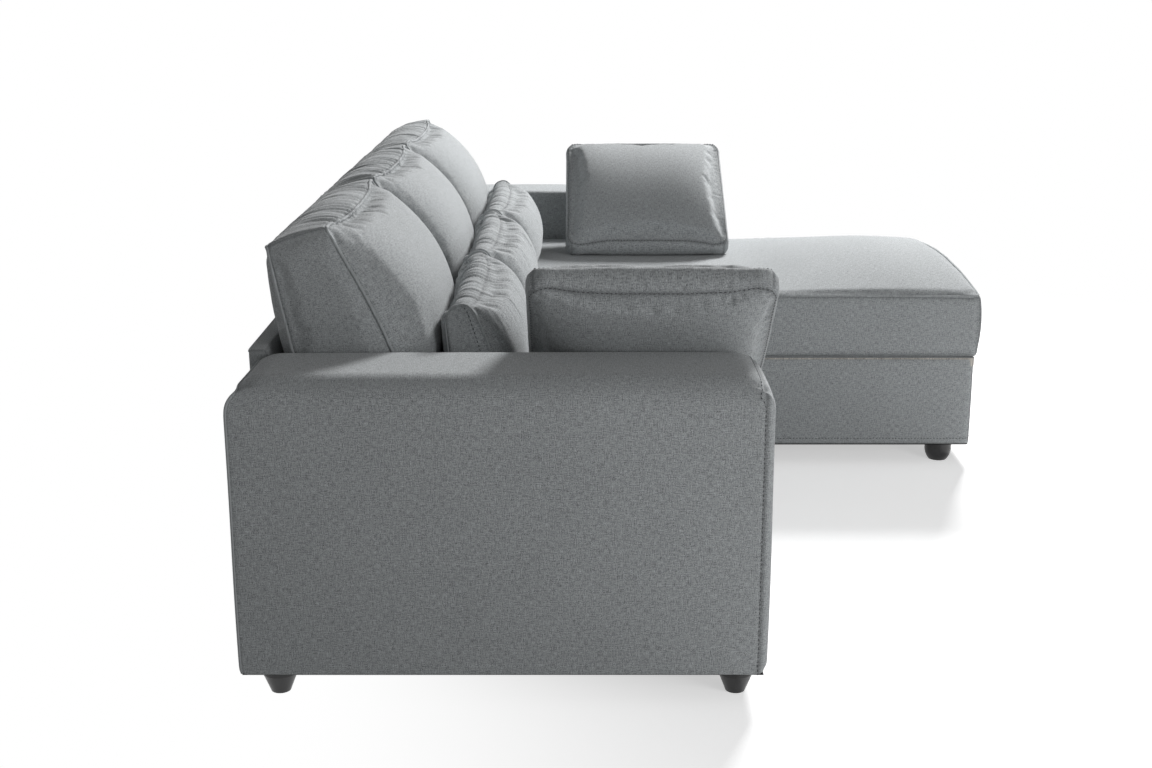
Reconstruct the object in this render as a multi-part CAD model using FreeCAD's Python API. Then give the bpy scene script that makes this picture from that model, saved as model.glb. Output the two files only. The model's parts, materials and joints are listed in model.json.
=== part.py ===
"""Sectional sofa with a chaise: a three-seat frame, a free-standing chaise base and loose cushions.

Millimetres. X runs along the sofa, the front faces -Y, Z is up, and the origin lies on the floor
under the middle of the whole object. The chaise stands at the right end, at +X.
"""
import FreeCAD
import Part
import math
import os
from FreeCAD import Vector

# Frame
seat_span = 2060.0  # between the inner faces of the arms
arm_width = 220.0
arm_depth = 950.0
arm_height = 600.0  # top of the arms and of the back frame above the floor
arm_front_radius = 55.0
arm_rear_radius = 67.0
arm_outer_radius = 50.0
arm_inner_radius = 20.0
arm_foam = 18.0
deck_height = 290.0  # top of the seat deck above the floor
front_recess = 3.0  # front rail behind the arm fronts
front_foam = 22.0
back_top_width = 32.0
back_lean = 12.0  # degrees, inner face of the back frame
back_foam = 6.0
back_board = 3.0
fabric = 2.0
dust_cloth = 1.0
fit = 0.5  # gap between a cushion and the rigid piece beside it
soft_gap = 1.0  # half of the gap between two cushions side by side
rest_gap = 0.3  # gap under a cushion
filling_gap = 0.6  # gap between a cushion's cover and its filling

# Timber
board = 24.0
panel = 12.0
post = 60.0
spring_seat = 28.0  # rail tops below the deck
block_leg = 70.0
block_height = 60.0

# Springs, clips and webbing
wire_radius = 1.8
bend_radius = 20.0
spring_run = 24.0
spring_count = 9
clip_length = 16.0
clip_width = 14.0
clip_height = 8.0
strap_width = 60.0
strap_thickness = 2.0
strap_count = 5

# Feet and fasteners
foot_height = 50.0
foot_top_radius = 32.0
foot_tip_radius = 18.0
foot_collar = 14.0
foot_side_inset = 50.0
foot_front_inset = 53.0
foot_rear_inset = 63.5
chaise_foot_radius = 35.0
chaise_foot_tip = 24.0
chaise_foot_side = 45.0
chaise_foot_end = 75.0
chaise_foot_straight = 15.0  # straight stretch below the base
chaise_foot_swell = 8.0  # of the rounded stretch beyond the sole
chaise_foot_bend = 0.4  # share of the rounded stretch's height where it swells so far
bolt_radius = 4.0
bolt_head_radius = 7.5
bolt_head = 5.0
washer_radius = 11.0
washer = 2.0
nut_radius = 6.0
hole_slack = 0.1
foot_bolt_above = 40.0
foot_bolt_below = 30.0
arm_bolt_height = 150.0
arm_bolt_front = 150.0  # behind the front rail's foam
arm_bolt_rear = 100.0  # before the rear rail
back_post_side = 180.0  # outer posts from the arms
back_bolt_height = 150.0
back_bolt_length = 90.0

# Chaise base
chaise_width = 890.0
chaise_reach = 705.0  # base front beyond the arm fronts
chaise_overhang = 15.0  # cushion front beyond the base
chaise_foam = 8.0
chaise_corner = 12.0
least_radius = 1.0
overshoot = 1.0  # past the end of what a hollow is cut from

# Seat and chaise cushions
cushion_side = 158.0  # height of the boxed side between its two welts
seat_overhang = 42.0
seat_crown = 12.0
seat_front_bulge = 14.0
seat_draw_in = 3.0
chaise_side_bulge = 5.0
foot_crown = 57.0  # highest crown, over the foot of the chaise
nose_crown = 34.0  # at the chaise cushion's front
hip_crown = 16.0
end_crown = 1.0  # least crown, at the rear end of the chaise cushion
toe_crown = 48.0
shin_crown = 42.75
toe_place = 75.0  # these three lie behind the chaise cushion's front
foot_place = 215.0
shin_place = 415.0
hip_place = 115.0  # before and behind the line of the arm fronts
rear_step = 150.0  # between the cushion's middle and the next two places behind it

# Back cushions
back_cushion_count = 3
back_cushion_height = 381.7  # front top welt above the seat cushions' top welt
back_welt_drop = 36.0  # rear top welt below the front one
back_top_thickness = 112.0
back_cushion_lean = 24.0  # degrees from upright
back_cushion_inset = 35.0  # rear top welt before the back frame's rear face
back_foot_thickness = 210.0
back_crown = 92.0
back_rear_bulge = 37.0
back_top_bulge = 16.0
back_draw_in = 6.0

# Lumbar pillows
lumbar_count = 3
lumbar_start = 80.0  # from the left arm
lumbar_end = 210.0  # from the right arm
lumbar_height = 200.0
lumbar_inset = 473.0  # front foot before the back frame's rear face
lumbar_foot_thickness = 93.0
lumbar_top_step = 66.0  # front top welt behind the front foot
lumbar_top_thickness = 54.0
lumbar_top_drop = 24.0
lumbar_front_bulge = 58.0
lumbar_rear_bulge = 22.0
lumbar_top_bulge = 10.0
lumbar_draw_in = 4.0

# Square pillows
pillow_gusset = 40.0
pillow_bulge = 8.0
pillow_draw_in = 8.0
left_pillow_height = 415.0
left_pillow_lean = 48.0  # degrees from upright
left_pillow_crown = 72.0
left_pillow_width = 466.0
left_pillow_forward = 26.0  # before the arm fronts
right_pillow_height = 510.0
right_pillow_lean = 60.0  # degrees from upright
right_pillow_crown = 85.0
right_pillow_width = 483.0
right_pillow_forward = 104.0  # before the arm fronts
right_pillow_share = 0.9  # share of the chaise cushion's crown left where the pillow stands

# Places worked out from the sizes above
half_span = seat_span / 2
half_length = half_span + arm_width
half_depth = (arm_depth + chaise_reach + chaise_overhang) / 2
rear = half_depth
arm_front = rear - arm_depth
rail_front = arm_front + front_recess
floor_of_frame = foot_height + dust_cloth
rail_top = deck_height - spring_seat
seat_top = deck_height + rest_gap + cushion_side
back_slope = math.tan(math.radians(back_lean))
back_inner_top = rear - back_top_width
rail_back = rail_front + front_foam + fabric
chaise_left = half_span - chaise_width
chaise_front = arm_front - chaise_reach
chaise_rear = rail_front - fit
seat_front = arm_front - seat_overhang
back_cushion_rear = rear - back_cushion_inset
back_welt_top = seat_top + back_cushion_height
lumbar_width = (seat_span - lumbar_start - lumbar_end) / lumbar_count
lumbar_front = rear - lumbar_inset
left_pillow_ends = (arm_front - left_pillow_forward, arm_front - left_pillow_forward + left_pillow_width)
right_pillow_ends = (arm_front - right_pillow_forward, arm_front - right_pillow_forward + right_pillow_width)

PARTS = "parts"


def box(x, y, z):
    """Box between the low and high value of each pair."""
    size = [hi - lo for lo, hi in (x, y, z)]
    return Part.makeBox(*size, Vector(x[0], y[0], z[0]))


def rod(centre, direction, radius, length):
    return Part.makeCylinder(radius, length, centre, direction)


def prism_x(points, x):
    """Polygon of (y, z) points drawn out along X."""
    corners = [Vector(x[0], y, z) for y, z in points]
    wire = Part.makePolygon(corners + corners[:1])
    return Part.Face(wire).extrude(Vector(x[1] - x[0], 0, 0))


def rounded_top(low, high, base, top, radius_low, radius_high, point, depth):
    """Slab whose outline has two rounded top corners; point(a, b) places an outline point."""
    turn = math.sqrt(0.5)
    low_mid = (low + radius_low * (1 - turn), top - radius_low * (1 - turn))
    high_mid = (high - radius_high * (1 - turn), top - radius_high * (1 - turn))
    edges = [
        Part.LineSegment(point(low, base), point(low, top - radius_low)).toShape(),
        Part.Arc(point(low, top - radius_low), point(*low_mid), point(low + radius_low, top)).toShape(),
        Part.LineSegment(point(low + radius_low, top), point(high - radius_high, top)).toShape(),
        Part.Arc(point(high - radius_high, top), point(*high_mid), point(high, top - radius_high)).toShape(),
        Part.LineSegment(point(high, top - radius_high), point(high, base)).toShape(),
        Part.LineSegment(point(high, base), point(low, base)).toShape(),
    ]
    return Part.Face(Part.Wire(edges)).extrude(depth)


def arm_block(inset, base, side):
    """Solid form of an arm, shrunk by inset; side is -1 at the left and 1 at the right."""
    top = arm_height - inset
    inner = half_span + inset
    outer = half_length - inset
    along = rounded_top(
        arm_front + inset, rear - inset, base, top,
        arm_front_radius - inset, arm_rear_radius - inset,
        lambda y, z: Vector(side * inner, y, z), Vector(side * (outer - inner), 0, 0),
    )
    low, high = sorted((side * inner, side * outer))
    radii = (arm_inner_radius, arm_outer_radius)[::side]
    across = rounded_top(
        low, high, base, top, max(radii[0] - inset, least_radius), max(radii[1] - inset, least_radius),
        lambda x, z: Vector(x, arm_front, z), Vector(0, arm_depth, 0),
    )
    return along.common(across)


def back_inner(z):
    """Y of the back frame's covered inner face at a height."""
    return back_inner_top - (arm_height - z) * back_slope


def back_block(inset, base):
    """Solid form of the back frame, a slab with a sloping inner face, shrunk by inset."""
    top = arm_height - inset
    shift = inset / math.cos(math.radians(back_lean))
    points = [
        (rear - inset, base),
        (rear - inset, top),
        (back_inner(top) + shift, top),
        (back_inner(base) + shift, base),
    ]
    return prism_x(points, (inset - half_span, half_span - inset))


def chaise_block(inset, base, top):
    """Solid form of the chaise base, with rounded upright corners, shrunk by inset."""
    block = box(
        (chaise_left + inset, half_span - inset),
        (chaise_front + inset, chaise_rear - inset),
        (base, top),
    )
    upright = [e for e in block.Edges if round(abs(e.tangentAt(e.FirstParameter).z)) == 1]
    return block.makeFillet(max(chaise_corner - inset, least_radius), upright)


def drilled(shape, tools):
    return shape.cut(Part.makeCompound(tools)) if tools else shape


# Soft forms


def shrink(corners, amounts):
    """Move each side of a polygon inwards by its own amount."""
    count = len(corners)
    centre_p = sum(c[0] for c in corners) / count
    centre_q = sum(c[1] for c in corners) / count
    lines = []
    for (p0, q0), (p1, q1), amount in zip(corners, corners[1:] + corners[:1], amounts):
        length = math.hypot(p1 - p0, q1 - q0)
        normal = ((q1 - q0) / length, -(p1 - p0) / length)
        if (centre_p - p0) * normal[0] + (centre_q - q0) * normal[1] < 0:
            normal = (-normal[0], -normal[1])
        lines.append((normal, normal[0] * p0 + normal[1] * q0 + amount))
    moved = []
    for (n0, d0), (n1, d1) in zip(lines[-1:] + lines[:-1], lines):
        cross = n0[0] * n1[1] - n0[1] * n1[0]
        moved.append(((d0 * n1[1] - d1 * n0[1]) / cross, (d1 * n0[0] - d0 * n1[0]) / cross))
    return moved


def section(corners, bulges, point):
    """Closed wire through the corners, each side bulging outwards by its own amount."""
    count = len(corners)
    centre = (sum(c[0] for c in corners) / count, sum(c[1] for c in corners) / count)
    edges = []
    for a, b, bulge in zip(corners, corners[1:] + corners[:1], bulges):
        if bulge == 0:
            edges.append(Part.LineSegment(point(*a), point(*b)).toShape())
            continue
        length = math.hypot(b[0] - a[0], b[1] - a[1])
        normal = ((b[1] - a[1]) / length, -(b[0] - a[0]) / length)
        middle = ((a[0] + b[0]) / 2, (a[1] + b[1]) / 2)
        if (middle[0] - centre[0]) * normal[0] + (middle[1] - centre[1]) * normal[1] < 0:
            normal = (-normal[0], -normal[1])
        crest = (middle[0] + normal[0] * bulge, middle[1] + normal[1] * bulge)
        edges.append(Part.Arc(point(*a), point(*crest), point(*b)).toShape())
    return Part.Wire(edges)


STATIONS = (-1.0, -0.6, 0.0, 0.6, 1.0)
END_SHARE = 0.12  # bulge that is left at a cushion's two ends
FULLNESS = 4  # a higher power keeps a cushion full for longer towards its ends


def cushion_form(along_x, ends, corners, bulges, draw_in, inset):
    """Crowned form lofted from end to end; its sides draw in and its faces crown at the middle."""
    low, high = ends[0] + inset, ends[1] - inset
    wires = []
    for share in STATIONS:
        swell = 1 - share**FULLNESS
        place = (low + high) / 2 + share * (high - low) / 2
        around = shrink(corners, [inset + amount * swell for amount in draw_in])
        sides = [bulge * (END_SHARE + (1 - END_SHARE) * swell) for bulge in bulges]
        if along_x:
            wires.append(section(around, sides, lambda p, q: Vector(place, p, q)))
        else:
            wires.append(section(around, sides, lambda p, q: Vector(p, place, q)))
    return Part.makeLoft(wires, True, False)


def cushion(name, *shape):
    """Cover and filling of one cushion, with a hair's breadth between them."""
    outer = cushion_form(*shape, 0.0)
    save(name + "_cover", outer.cut(cushion_form(*shape, fabric)))
    save(name + "_filling", cushion_form(*shape, fabric + filling_gap))


def save(name, *shapes):
    """Write one sub-part's STEP file and print how many solids it holds and their volume."""
    solids = [solid for shape in shapes for solid in shape.Solids]
    whole = solids[0] if len(solids) == 1 else Part.makeCompound(solids)
    if not whole.isValid():
        raise ValueError(name + " is not a valid shape")
    whole.exportStep(os.path.join(PARTS, name + ".step"))
    print(f"{name:30s} {len(solids):3d} solids {whole.Volume / 1e6:9.3f} litres")


# Bolts that stand up from the feet into the frame


def foot_bolt(x, y):
    base = Vector(x, y, foot_height - foot_bolt_below)
    return rod(base, Vector(0, 0, 1), bolt_radius, foot_bolt_below + foot_bolt_above)


def foot_bolt_hole(x, y):
    base = Vector(x, y, foot_height - foot_bolt_below)
    return rod(base, Vector(0, 0, 1), bolt_radius + hole_slack, foot_bolt_below + foot_bolt_above)


def sofa_foot(x, y):
    """Tapered round foot with a short straight collar."""
    tip = Part.makeCone(
        foot_tip_radius, foot_top_radius, foot_height - foot_collar, Vector(x, y, 0), Vector(0, 0, 1)
    )
    collar = rod(Vector(x, y, foot_height - foot_collar), Vector(0, 0, 1), foot_top_radius, foot_collar)
    return tip.fuse(collar).removeSplitter().cut(foot_bolt_hole(x, y))


def chaise_foot(x, y):
    """Stouter foot with a rounded sole."""
    middle, shoulder, top = Vector(0, 0, 0), foot_height - chaise_foot_straight, foot_height
    sole = Vector(chaise_foot_tip, 0, 0)
    swell = Vector(chaise_foot_tip + chaise_foot_swell, 0, shoulder * chaise_foot_bend)
    side, rim = Vector(chaise_foot_radius, 0, shoulder), Vector(chaise_foot_radius, 0, top)
    edges = [
        Part.LineSegment(middle, sole).toShape(),
        Part.Arc(sole, swell, side).toShape(),
        Part.LineSegment(side, rim).toShape(),
        Part.LineSegment(rim, Vector(0, 0, top)).toShape(),
        Part.LineSegment(Vector(0, 0, top), middle).toShape(),
    ]
    profile = Part.Face(Part.Wire(edges))
    foot = profile.revolve(Vector(0, 0, 0), Vector(0, 0, 1), 360)
    foot.translate(Vector(x, y, 0))
    return foot.cut(foot_bolt_hole(x, y))


foot_x = half_length - foot_side_inset
sofa_foot_places = [
    (side * foot_x, y) for side in (-1, 1) for y in (arm_front + foot_front_inset, rear - foot_rear_inset)
]
rail_rear_front = back_inner(floor_of_frame) - fit - board  # front face of the seat frame's rear rail
centre_foot_places = [(0.0, rail_back + board + foot_top_radius), (0.0, rail_rear_front - foot_top_radius)]
chaise_foot_places = [
    (x, y)
    for x in (chaise_left + chaise_foot_side, half_span - chaise_foot_side)
    for y in (chaise_front + chaise_foot_end, chaise_rear - chaise_foot_end)
]

# Bolts that join the arms to the seat frame, at (y, z), and the back to its rear rail, at (x, z)
arm_bolt_places = [
    (rail_back + arm_bolt_front, arm_bolt_height),
    ((rail_back + rail_rear_front) / 2, arm_bolt_height),
    (rail_rear_front - arm_bolt_rear, arm_bolt_height),
]
outer_post = half_span - back_post_side
back_post_places = [-outer_post, -half_span / 3, half_span / 3, outer_post]


def arm_bolt_parts(side):
    """Bolts, washers and threaded inserts at one arm, and the clearance drills for what they cross."""
    inner_rail = half_span - board
    panel_inner = half_span + fabric + arm_foam
    bolts, washers, nuts, drills, nut_drills = [], [], [], [], []
    outward = Vector(side, 0, 0)
    for y, z in arm_bolt_places:
        head_face = inner_rail - washer
        shank = rod(Vector(side * head_face, y, z), outward, bolt_radius, panel_inner + panel - head_face)
        head = rod(Vector(side * (head_face - bolt_head), y, z), outward, bolt_head_radius, bolt_head)
        bolts.append(shank.fuse(head).removeSplitter())
        ring = rod(Vector(side * head_face, y, z), outward, washer_radius, washer)
        bore = rod(Vector(side * head_face, y, z), outward, bolt_radius + hole_slack, washer)
        washers.append(ring.cut(bore))
        nut = rod(Vector(side * panel_inner, y, z), outward, nut_radius, panel)
        nuts.append(nut.cut(rod(Vector(side * panel_inner, y, z), outward, bolt_radius + hole_slack, panel)))
        drills.append(
            rod(Vector(side * inner_rail, y, z), outward, bolt_radius + hole_slack, panel_inner - inner_rail)
        )
        nut_drills.append(rod(Vector(side * panel_inner, y, z), outward, nut_radius + hole_slack, panel))
    return bolts, washers, nuts, drills, nut_drills


def make_arm(name, side):
    """Timber, padding and cover of one arm."""
    bolts, washers, nuts, drills, nut_drills = arm_bolt_parts(side)
    core_inset = fabric + arm_foam
    core = arm_block(core_inset, floor_of_frame, side)
    x0, x1 = half_span + core_inset, half_length - core_inset
    y0, y1 = arm_front + core_inset, rear - core_inset
    panel_top = arm_height - arm_outer_radius
    base = floor_of_frame

    def across(a, b):
        return tuple(sorted((side * a, side * b)))

    inner_panel = box(across(x0, x0 + panel), (y0, y1), (base, panel_top))
    outer_panel = box(across(x1 - panel, x1), (y0, y1), (base, panel_top))
    between = across(x0 + panel, x1 - panel)
    members = [
        drilled(inner_panel, nut_drills),
        outer_panel,
        box(between, (y0, y0 + post), (base, panel_top - board)),
        box(between, (y1 - post, y1), (base, panel_top - board)),
        box(between, (y0 + post, y1 - post), (base, base + post)),
        box(between, (y0, y1), (panel_top - board, panel_top)),
    ]
    bolt_holes = [foot_bolt_hole(x, y) for x, y in sofa_foot_places if x * side > 0]
    members = [drilled(member.common(core), bolt_holes) for member in members]
    save(name + "_arm_frame", *members)
    inner_form = arm_block(fabric, floor_of_frame, side)
    padding = inner_form.cut(arm_block(core_inset, floor_of_frame - overshoot, side))
    save(name + "_arm_padding", drilled(padding, drills))
    cover = arm_block(0.0, floor_of_frame, side).cut(arm_block(fabric, floor_of_frame - overshoot, side))
    save(name + "_arm_cover", drilled(cover, drills))
    return bolts, washers, nuts, drills


def make_seat_frame(arm_drills):
    """Rails, cross rails and corner blocks between the arms."""
    base, inner = floor_of_frame, half_span - board
    y0 = rail_back
    rear_rail = prism_x(
        [
            (rail_rear_front, base),
            (rail_rear_front, rail_top),
            (back_inner(rail_top) - fit, rail_top),
            (back_inner(base) - fit, base),
        ],
        (-half_span, half_span),
    )
    back_drills = [
        rod(
            Vector(x, rail_rear_front, back_bolt_height), Vector(0, 1, 0),
            bolt_radius + hole_slack, back_bolt_length,
        )
        for x in back_post_places
    ]
    save(
        "seat_long_rails",
        box((-half_span, half_span), (y0, y0 + board), (base, rail_top)),
        drilled(rear_rail, back_drills),
    )
    side_rails = [
        drilled(
            box(
                tuple(sorted((side * inner, side * half_span))),
                (y0 + board, rail_rear_front),
                (base, rail_top),
            ),
            arm_drills,
        )
        for side in (-1, 1)
    ]
    save("seat_side_rails", *side_rails)
    centre_holes = [foot_bolt_hole(x, y) for x, y in centre_foot_places]
    cross = [
        drilled(
            box((x - board / 2, x + board / 2), (y0 + board, rail_rear_front), (base, base + 2 * post)),
            centre_holes,
        )
        for x in (-half_span / 2, 0.0, half_span / 2)
    ]
    save("seat_cross_rails", *cross)
    blocks = []
    for side in (-1, 1):
        for y, turn in ((y0 + board, 1), (rail_rear_front, -1)):
            x = side * inner
            low = rail_top - block_height
            corners = [
                Vector(x, y, low),
                Vector(x - side * block_leg, y, low),
                Vector(x, y + turn * block_leg, low),
            ]
            face = Part.Face(Part.makePolygon(corners + corners[:1]))
            blocks.append(face.extrude(Vector(0, 0, block_height)))
    save("corner_blocks", *blocks)


def zigzag_spring(x):
    """Flat sinuous spring: runs along X joined by half-turn bends, from rail to rail."""
    z = rail_top + clip_height / 2
    start = rail_back + board / 2
    end = rail_rear_front + board / 2
    pitch = 2 * bend_radius
    turns = int((end - start) / pitch)
    y = start + (end - start - turns * pitch) / 2
    half = spring_run / 2
    edges = []
    side = 1
    point = Vector(x - half, y, z)
    for turn in range(turns + 1):
        far = Vector(x + side * half, y, z)
        edges.append(Part.LineSegment(point, far).toShape())
        if turn == turns:
            break
        bend = Vector(far.x + side * bend_radius, y + bend_radius, z)
        point = Vector(far.x, y + pitch, z)
        edges.append(Part.Arc(far, bend, point).toShape())
        y += pitch
        side = -side
    path = Part.Wire(edges)
    start_point = edges[0].valueAt(edges[0].FirstParameter)
    ring = Part.Wire([Part.makeCircle(wire_radius, start_point, Vector(1, 0, 0))])
    return path.makePipeShell([ring], True, False), start_point.y, y


def make_springs():
    """Sinuous springs over the seat, and the clips that hold both ends of each."""
    pitch = seat_span / spring_count
    first, low_y, high_y = zigzag_spring(-half_span + pitch / 2)
    springs, clips = [], []
    for index in range(spring_count):
        x = -half_span + pitch * (index + 0.5)
        copy = first.copy()
        copy.translate(Vector(pitch * index, 0, 0))
        springs.append(copy)
        for y in (low_y, high_y):
            body = box(
                (x - clip_length / 2, x + clip_length / 2),
                (y - clip_width / 2, y + clip_width / 2),
                (rail_top, rail_top + clip_height),
            )
            bore = rod(
                Vector(x - clip_length / 2, y, rail_top + clip_height / 2),
                Vector(1, 0, 0), wire_radius + hole_slack, clip_length,
            )
            clips.append(body.cut(bore))
    save("seat_springs", *springs)
    save("spring_clips", *clips)


def make_deck():
    """Deck pad and cloth over the springs, the padded front rail cover and the dust cover."""
    span = (-half_span, half_span)
    pad_base = rail_top + clip_height + fit
    pad_top = deck_height - fabric
    pad_rear = back_inner(pad_base) - fit
    save("deck_pad", box(span, (rail_back, pad_rear), (pad_base, pad_top)))
    save("deck_cloth", box(span, (rail_back, pad_rear), (pad_top, deck_height)))
    padding = box(span, (rail_front + fabric, rail_back), (floor_of_frame, pad_top))
    save("front_rail_padding", padding)
    wall = box(span, (rail_front, rail_back), (floor_of_frame, deck_height))
    hollow = box(span, (rail_front + fabric, rail_back), (floor_of_frame, pad_top))
    save("front_rail_cover", wall.cut(hollow))
    margin = 2 * fabric
    sheet = box(
        (margin - half_length, half_length - margin),
        (rail_front + margin, rear - margin),
        (foot_height, floor_of_frame),
    )
    holes = [foot_bolt_hole(x, y) for x, y in sofa_foot_places + centre_foot_places]
    save("dust_cover", drilled(sheet, holes))


def make_back():
    """Posts and rails, board, padding and cover of the back frame, and the bolts into the rear rail."""
    core_inset = fabric + back_foam
    core = back_block(core_inset, floor_of_frame)
    top = arm_height - core_inset
    inner_x = half_span - core_inset
    board_front = rear - core_inset - back_board
    depth = (back_inner(floor_of_frame), board_front)
    bolts, drills, post_holes = [], [], []
    for x in back_post_places:
        seat = Vector(x, rail_rear_front, back_bolt_height)
        shank = rod(seat, Vector(0, 1, 0), bolt_radius, back_bolt_length)
        head = rod(seat - Vector(0, bolt_head, 0), Vector(0, 1, 0), bolt_head_radius, bolt_head)
        bolts.append(shank.fuse(head).removeSplitter())
        drills.append(rod(seat, Vector(0, 1, 0), bolt_radius + hole_slack, back_bolt_length))
    posts = [
        box((x - post / 2, x + post / 2), depth, (floor_of_frame, top)).common(core)
        for x in back_post_places
    ]
    posts = [drilled(piece, drills) for piece in posts]
    edges = [-inner_x] + [x + turn * post / 2 for x in back_post_places for turn in (-1, 1)] + [inner_x]
    rails = []
    heights = ((floor_of_frame, floor_of_frame + post), (deck_height - post, deck_height), (top - post, top))
    for low, high in heights:
        for left, right in zip(edges[::2], edges[1::2]):
            rails.append(box((left, right), depth, (low, high)).common(core))
    save("back_posts", *posts)
    save("back_rails", *rails)
    save("back_board", box((-inner_x, inner_x), (board_front, rear - core_inset), (floor_of_frame, top)))
    padding = back_block(fabric, floor_of_frame).cut(back_block(core_inset, floor_of_frame - overshoot))
    save("back_padding", drilled(padding, drills))
    cover = back_block(0.0, floor_of_frame).cut(back_block(fabric, floor_of_frame - overshoot))
    save("back_cover", drilled(cover, drills))
    save("back_bolts", *bolts)


def make_chaise_base():
    """Boards, blocks, webbing, padding, cover and feet of the chaise base."""
    base = floor_of_frame
    core_inset = fabric + chaise_foam
    holes = [foot_bolt_hole(x, y) for x, y in chaise_foot_places]
    x0, x1 = chaise_left + core_inset, half_span - core_inset
    y0, y1 = chaise_front + core_inset, chaise_rear - core_inset
    core = chaise_block(core_inset, base, rail_top)
    boards = [
        box((x0, x1), (y0, y0 + board), (base, rail_top)),
        box((x0, x1), (y1 - board, y1), (base, rail_top)),
        box((x0, x0 + board), (y0 + board, y1 - board), (base, rail_top)),
        box((x1 - board, x1), (y0 + board, y1 - board), (base, rail_top)),
    ]
    save("chaise_boards", *[piece.common(core) for piece in boards])
    blocks = []
    for x, turn_x in ((x0 + board, 1), (x1 - board, -1)):
        for y, turn_y in ((y0 + board, 1), (y1 - board, -1)):
            corners = [
                Vector(x, y, base),
                Vector(x + turn_x * block_leg, y, base),
                Vector(x, y + turn_y * 2 * block_leg, base),
            ]
            face = Part.Face(Part.makePolygon(corners + corners[:1]))
            blocks.append(drilled(face.extrude(Vector(0, 0, block_height)), holes))
    save("chaise_foot_blocks", *blocks)
    straps = []
    for index in range(strap_count):
        x = x0 + (x1 - x0) * (index + 0.5) / strap_count
        straps.append(
            box((x - strap_width / 2, x + strap_width / 2), (y0, y1), (rail_top, rail_top + strap_thickness))
        )
        y = y0 + (y1 - y0) * (index + 0.5) / strap_count
        low = rail_top + strap_thickness
        depth = (y - strap_width / 2, y + strap_width / 2)
        straps.append(box((x0, x1), depth, (low, low + strap_thickness)))
    save("chaise_webbing", *straps)
    pad_base = rail_top + 2 * strap_thickness
    pad_top = deck_height - fabric
    save("chaise_deck_pad", chaise_block(fabric, pad_base, pad_top))
    hollow = chaise_block(core_inset, base - overshoot, rail_top + overshoot)
    save("chaise_base_padding", chaise_block(fabric, base, rail_top).cut(hollow))
    cover = chaise_block(0.0, base, deck_height).cut(chaise_block(fabric, base - overshoot, pad_top))
    save("chaise_base_cover", cover)
    save("chaise_dust_cover", drilled(chaise_block(2 * fabric, foot_height, base), holes))
    save("chaise_feet", *[chaise_foot(x, y) for x, y in chaise_foot_places])
    save("chaise_foot_bolts", *[foot_bolt(x, y) for x, y in chaise_foot_places])


# Loose cushions

seat_rear = back_inner(deck_height) - fit
cushion_base = deck_height + rest_gap


def crown_height(y):
    """Height of a seat cushion's crown above its top welt, over its middle."""
    chord = seat_rear - seat_front
    radius = (chord * chord / 4 + seat_crown * seat_crown) / (2 * seat_crown)
    off = y - (seat_rear + seat_front) / 2
    return math.sqrt(radius * radius - off * off) - (radius - seat_crown)


def chaise_section(y, crown, inset):
    """Cross-section of the chaise cushion at a place along it, with its own crown."""
    side_x = (chaise_left + soft_gap + chaise_side_bulge, half_span - fit - chaise_side_bulge)
    corners = [
        (side_x[0], cushion_base),
        (side_x[0], seat_top),
        (side_x[1], seat_top),
        (side_x[1], cushion_base),
    ]
    bulges = (chaise_side_bulge, crown, chaise_side_bulge, 0)
    return section(shrink(corners, [inset] * 4), bulges, lambda p, q: Vector(p, y, q))


chaise_cushion_front = -half_depth
lap_line = arm_front + hip_place
seat_middle = (seat_front + seat_rear) / 2
lap_places = [lap_line, seat_middle, seat_middle + rear_step, seat_middle + 2 * rear_step]
chaise_crowns = [
    (chaise_cushion_front, nose_crown),
    (chaise_cushion_front + toe_place, toe_crown),
    (chaise_cushion_front + foot_place, foot_crown),
    (chaise_cushion_front + shin_place, shin_crown),
    (arm_front - hip_place, hip_crown),
    *[(y, crown_height(y)) for y in lap_places],
    (seat_rear, end_crown),
]


def chaise_form(inset):
    """Long cushion, highest over the foot of the chaise and nearly flat under the back cushion."""
    first, last = chaise_crowns[0][0], chaise_crowns[-1][0]
    wires = []
    for y, crown in chaise_crowns:
        place = min(max(y, first + inset), last - inset)
        wires.append(chaise_section(place, crown, inset))
    return Part.makeLoft(wires, True, False)


def make_seat_cushions():
    edges = [-half_span, (chaise_left - half_span) / 2, chaise_left]
    corners = [
        (seat_front + seat_front_bulge, cushion_base),
        (seat_front + seat_front_bulge, seat_top),
        (seat_rear, seat_top),
        (seat_rear, cushion_base),
    ]
    bulges = (seat_front_bulge, seat_crown, 0, 0)
    for name, left, right in zip(("left_seat", "centre_seat"), edges, edges[1:]):
        cushion(name, True, (left + soft_gap, right - soft_gap), corners, bulges, (seat_draw_in, 0, 0, 0))
    save("chaise_cushion_cover", chaise_form(0.0).cut(chaise_form(fabric)))
    save("chaise_cushion_filling", chaise_form(fabric + filling_gap))


def make_back_cushions():
    """Wedge-shaped boxed cushions with a deep crown, leaning on the back frame."""
    lean = math.tan(math.radians(back_cushion_lean))
    front_top = back_cushion_rear - back_top_thickness
    foot = seat_top + crown_height(front_top - (back_welt_top - seat_top) * lean) + rest_gap
    front_foot = front_top - (back_welt_top - foot) * lean
    corners = [
        (front_foot, foot),
        (front_top, back_welt_top),
        (back_cushion_rear, back_welt_top - back_welt_drop),
        (front_foot + back_foot_thickness, foot),
    ]
    bulges = (back_crown, back_top_bulge, back_rear_bulge, 0)
    pitch = seat_span / back_cushion_count
    for index, name in enumerate(("left", "centre", "right")):
        left = -half_span + pitch * index
        ends = (left + soft_gap, left + pitch - soft_gap)
        cushion(name + "_back_cushion", True, ends, corners, bulges, (0, back_draw_in, 0, 0))


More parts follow.
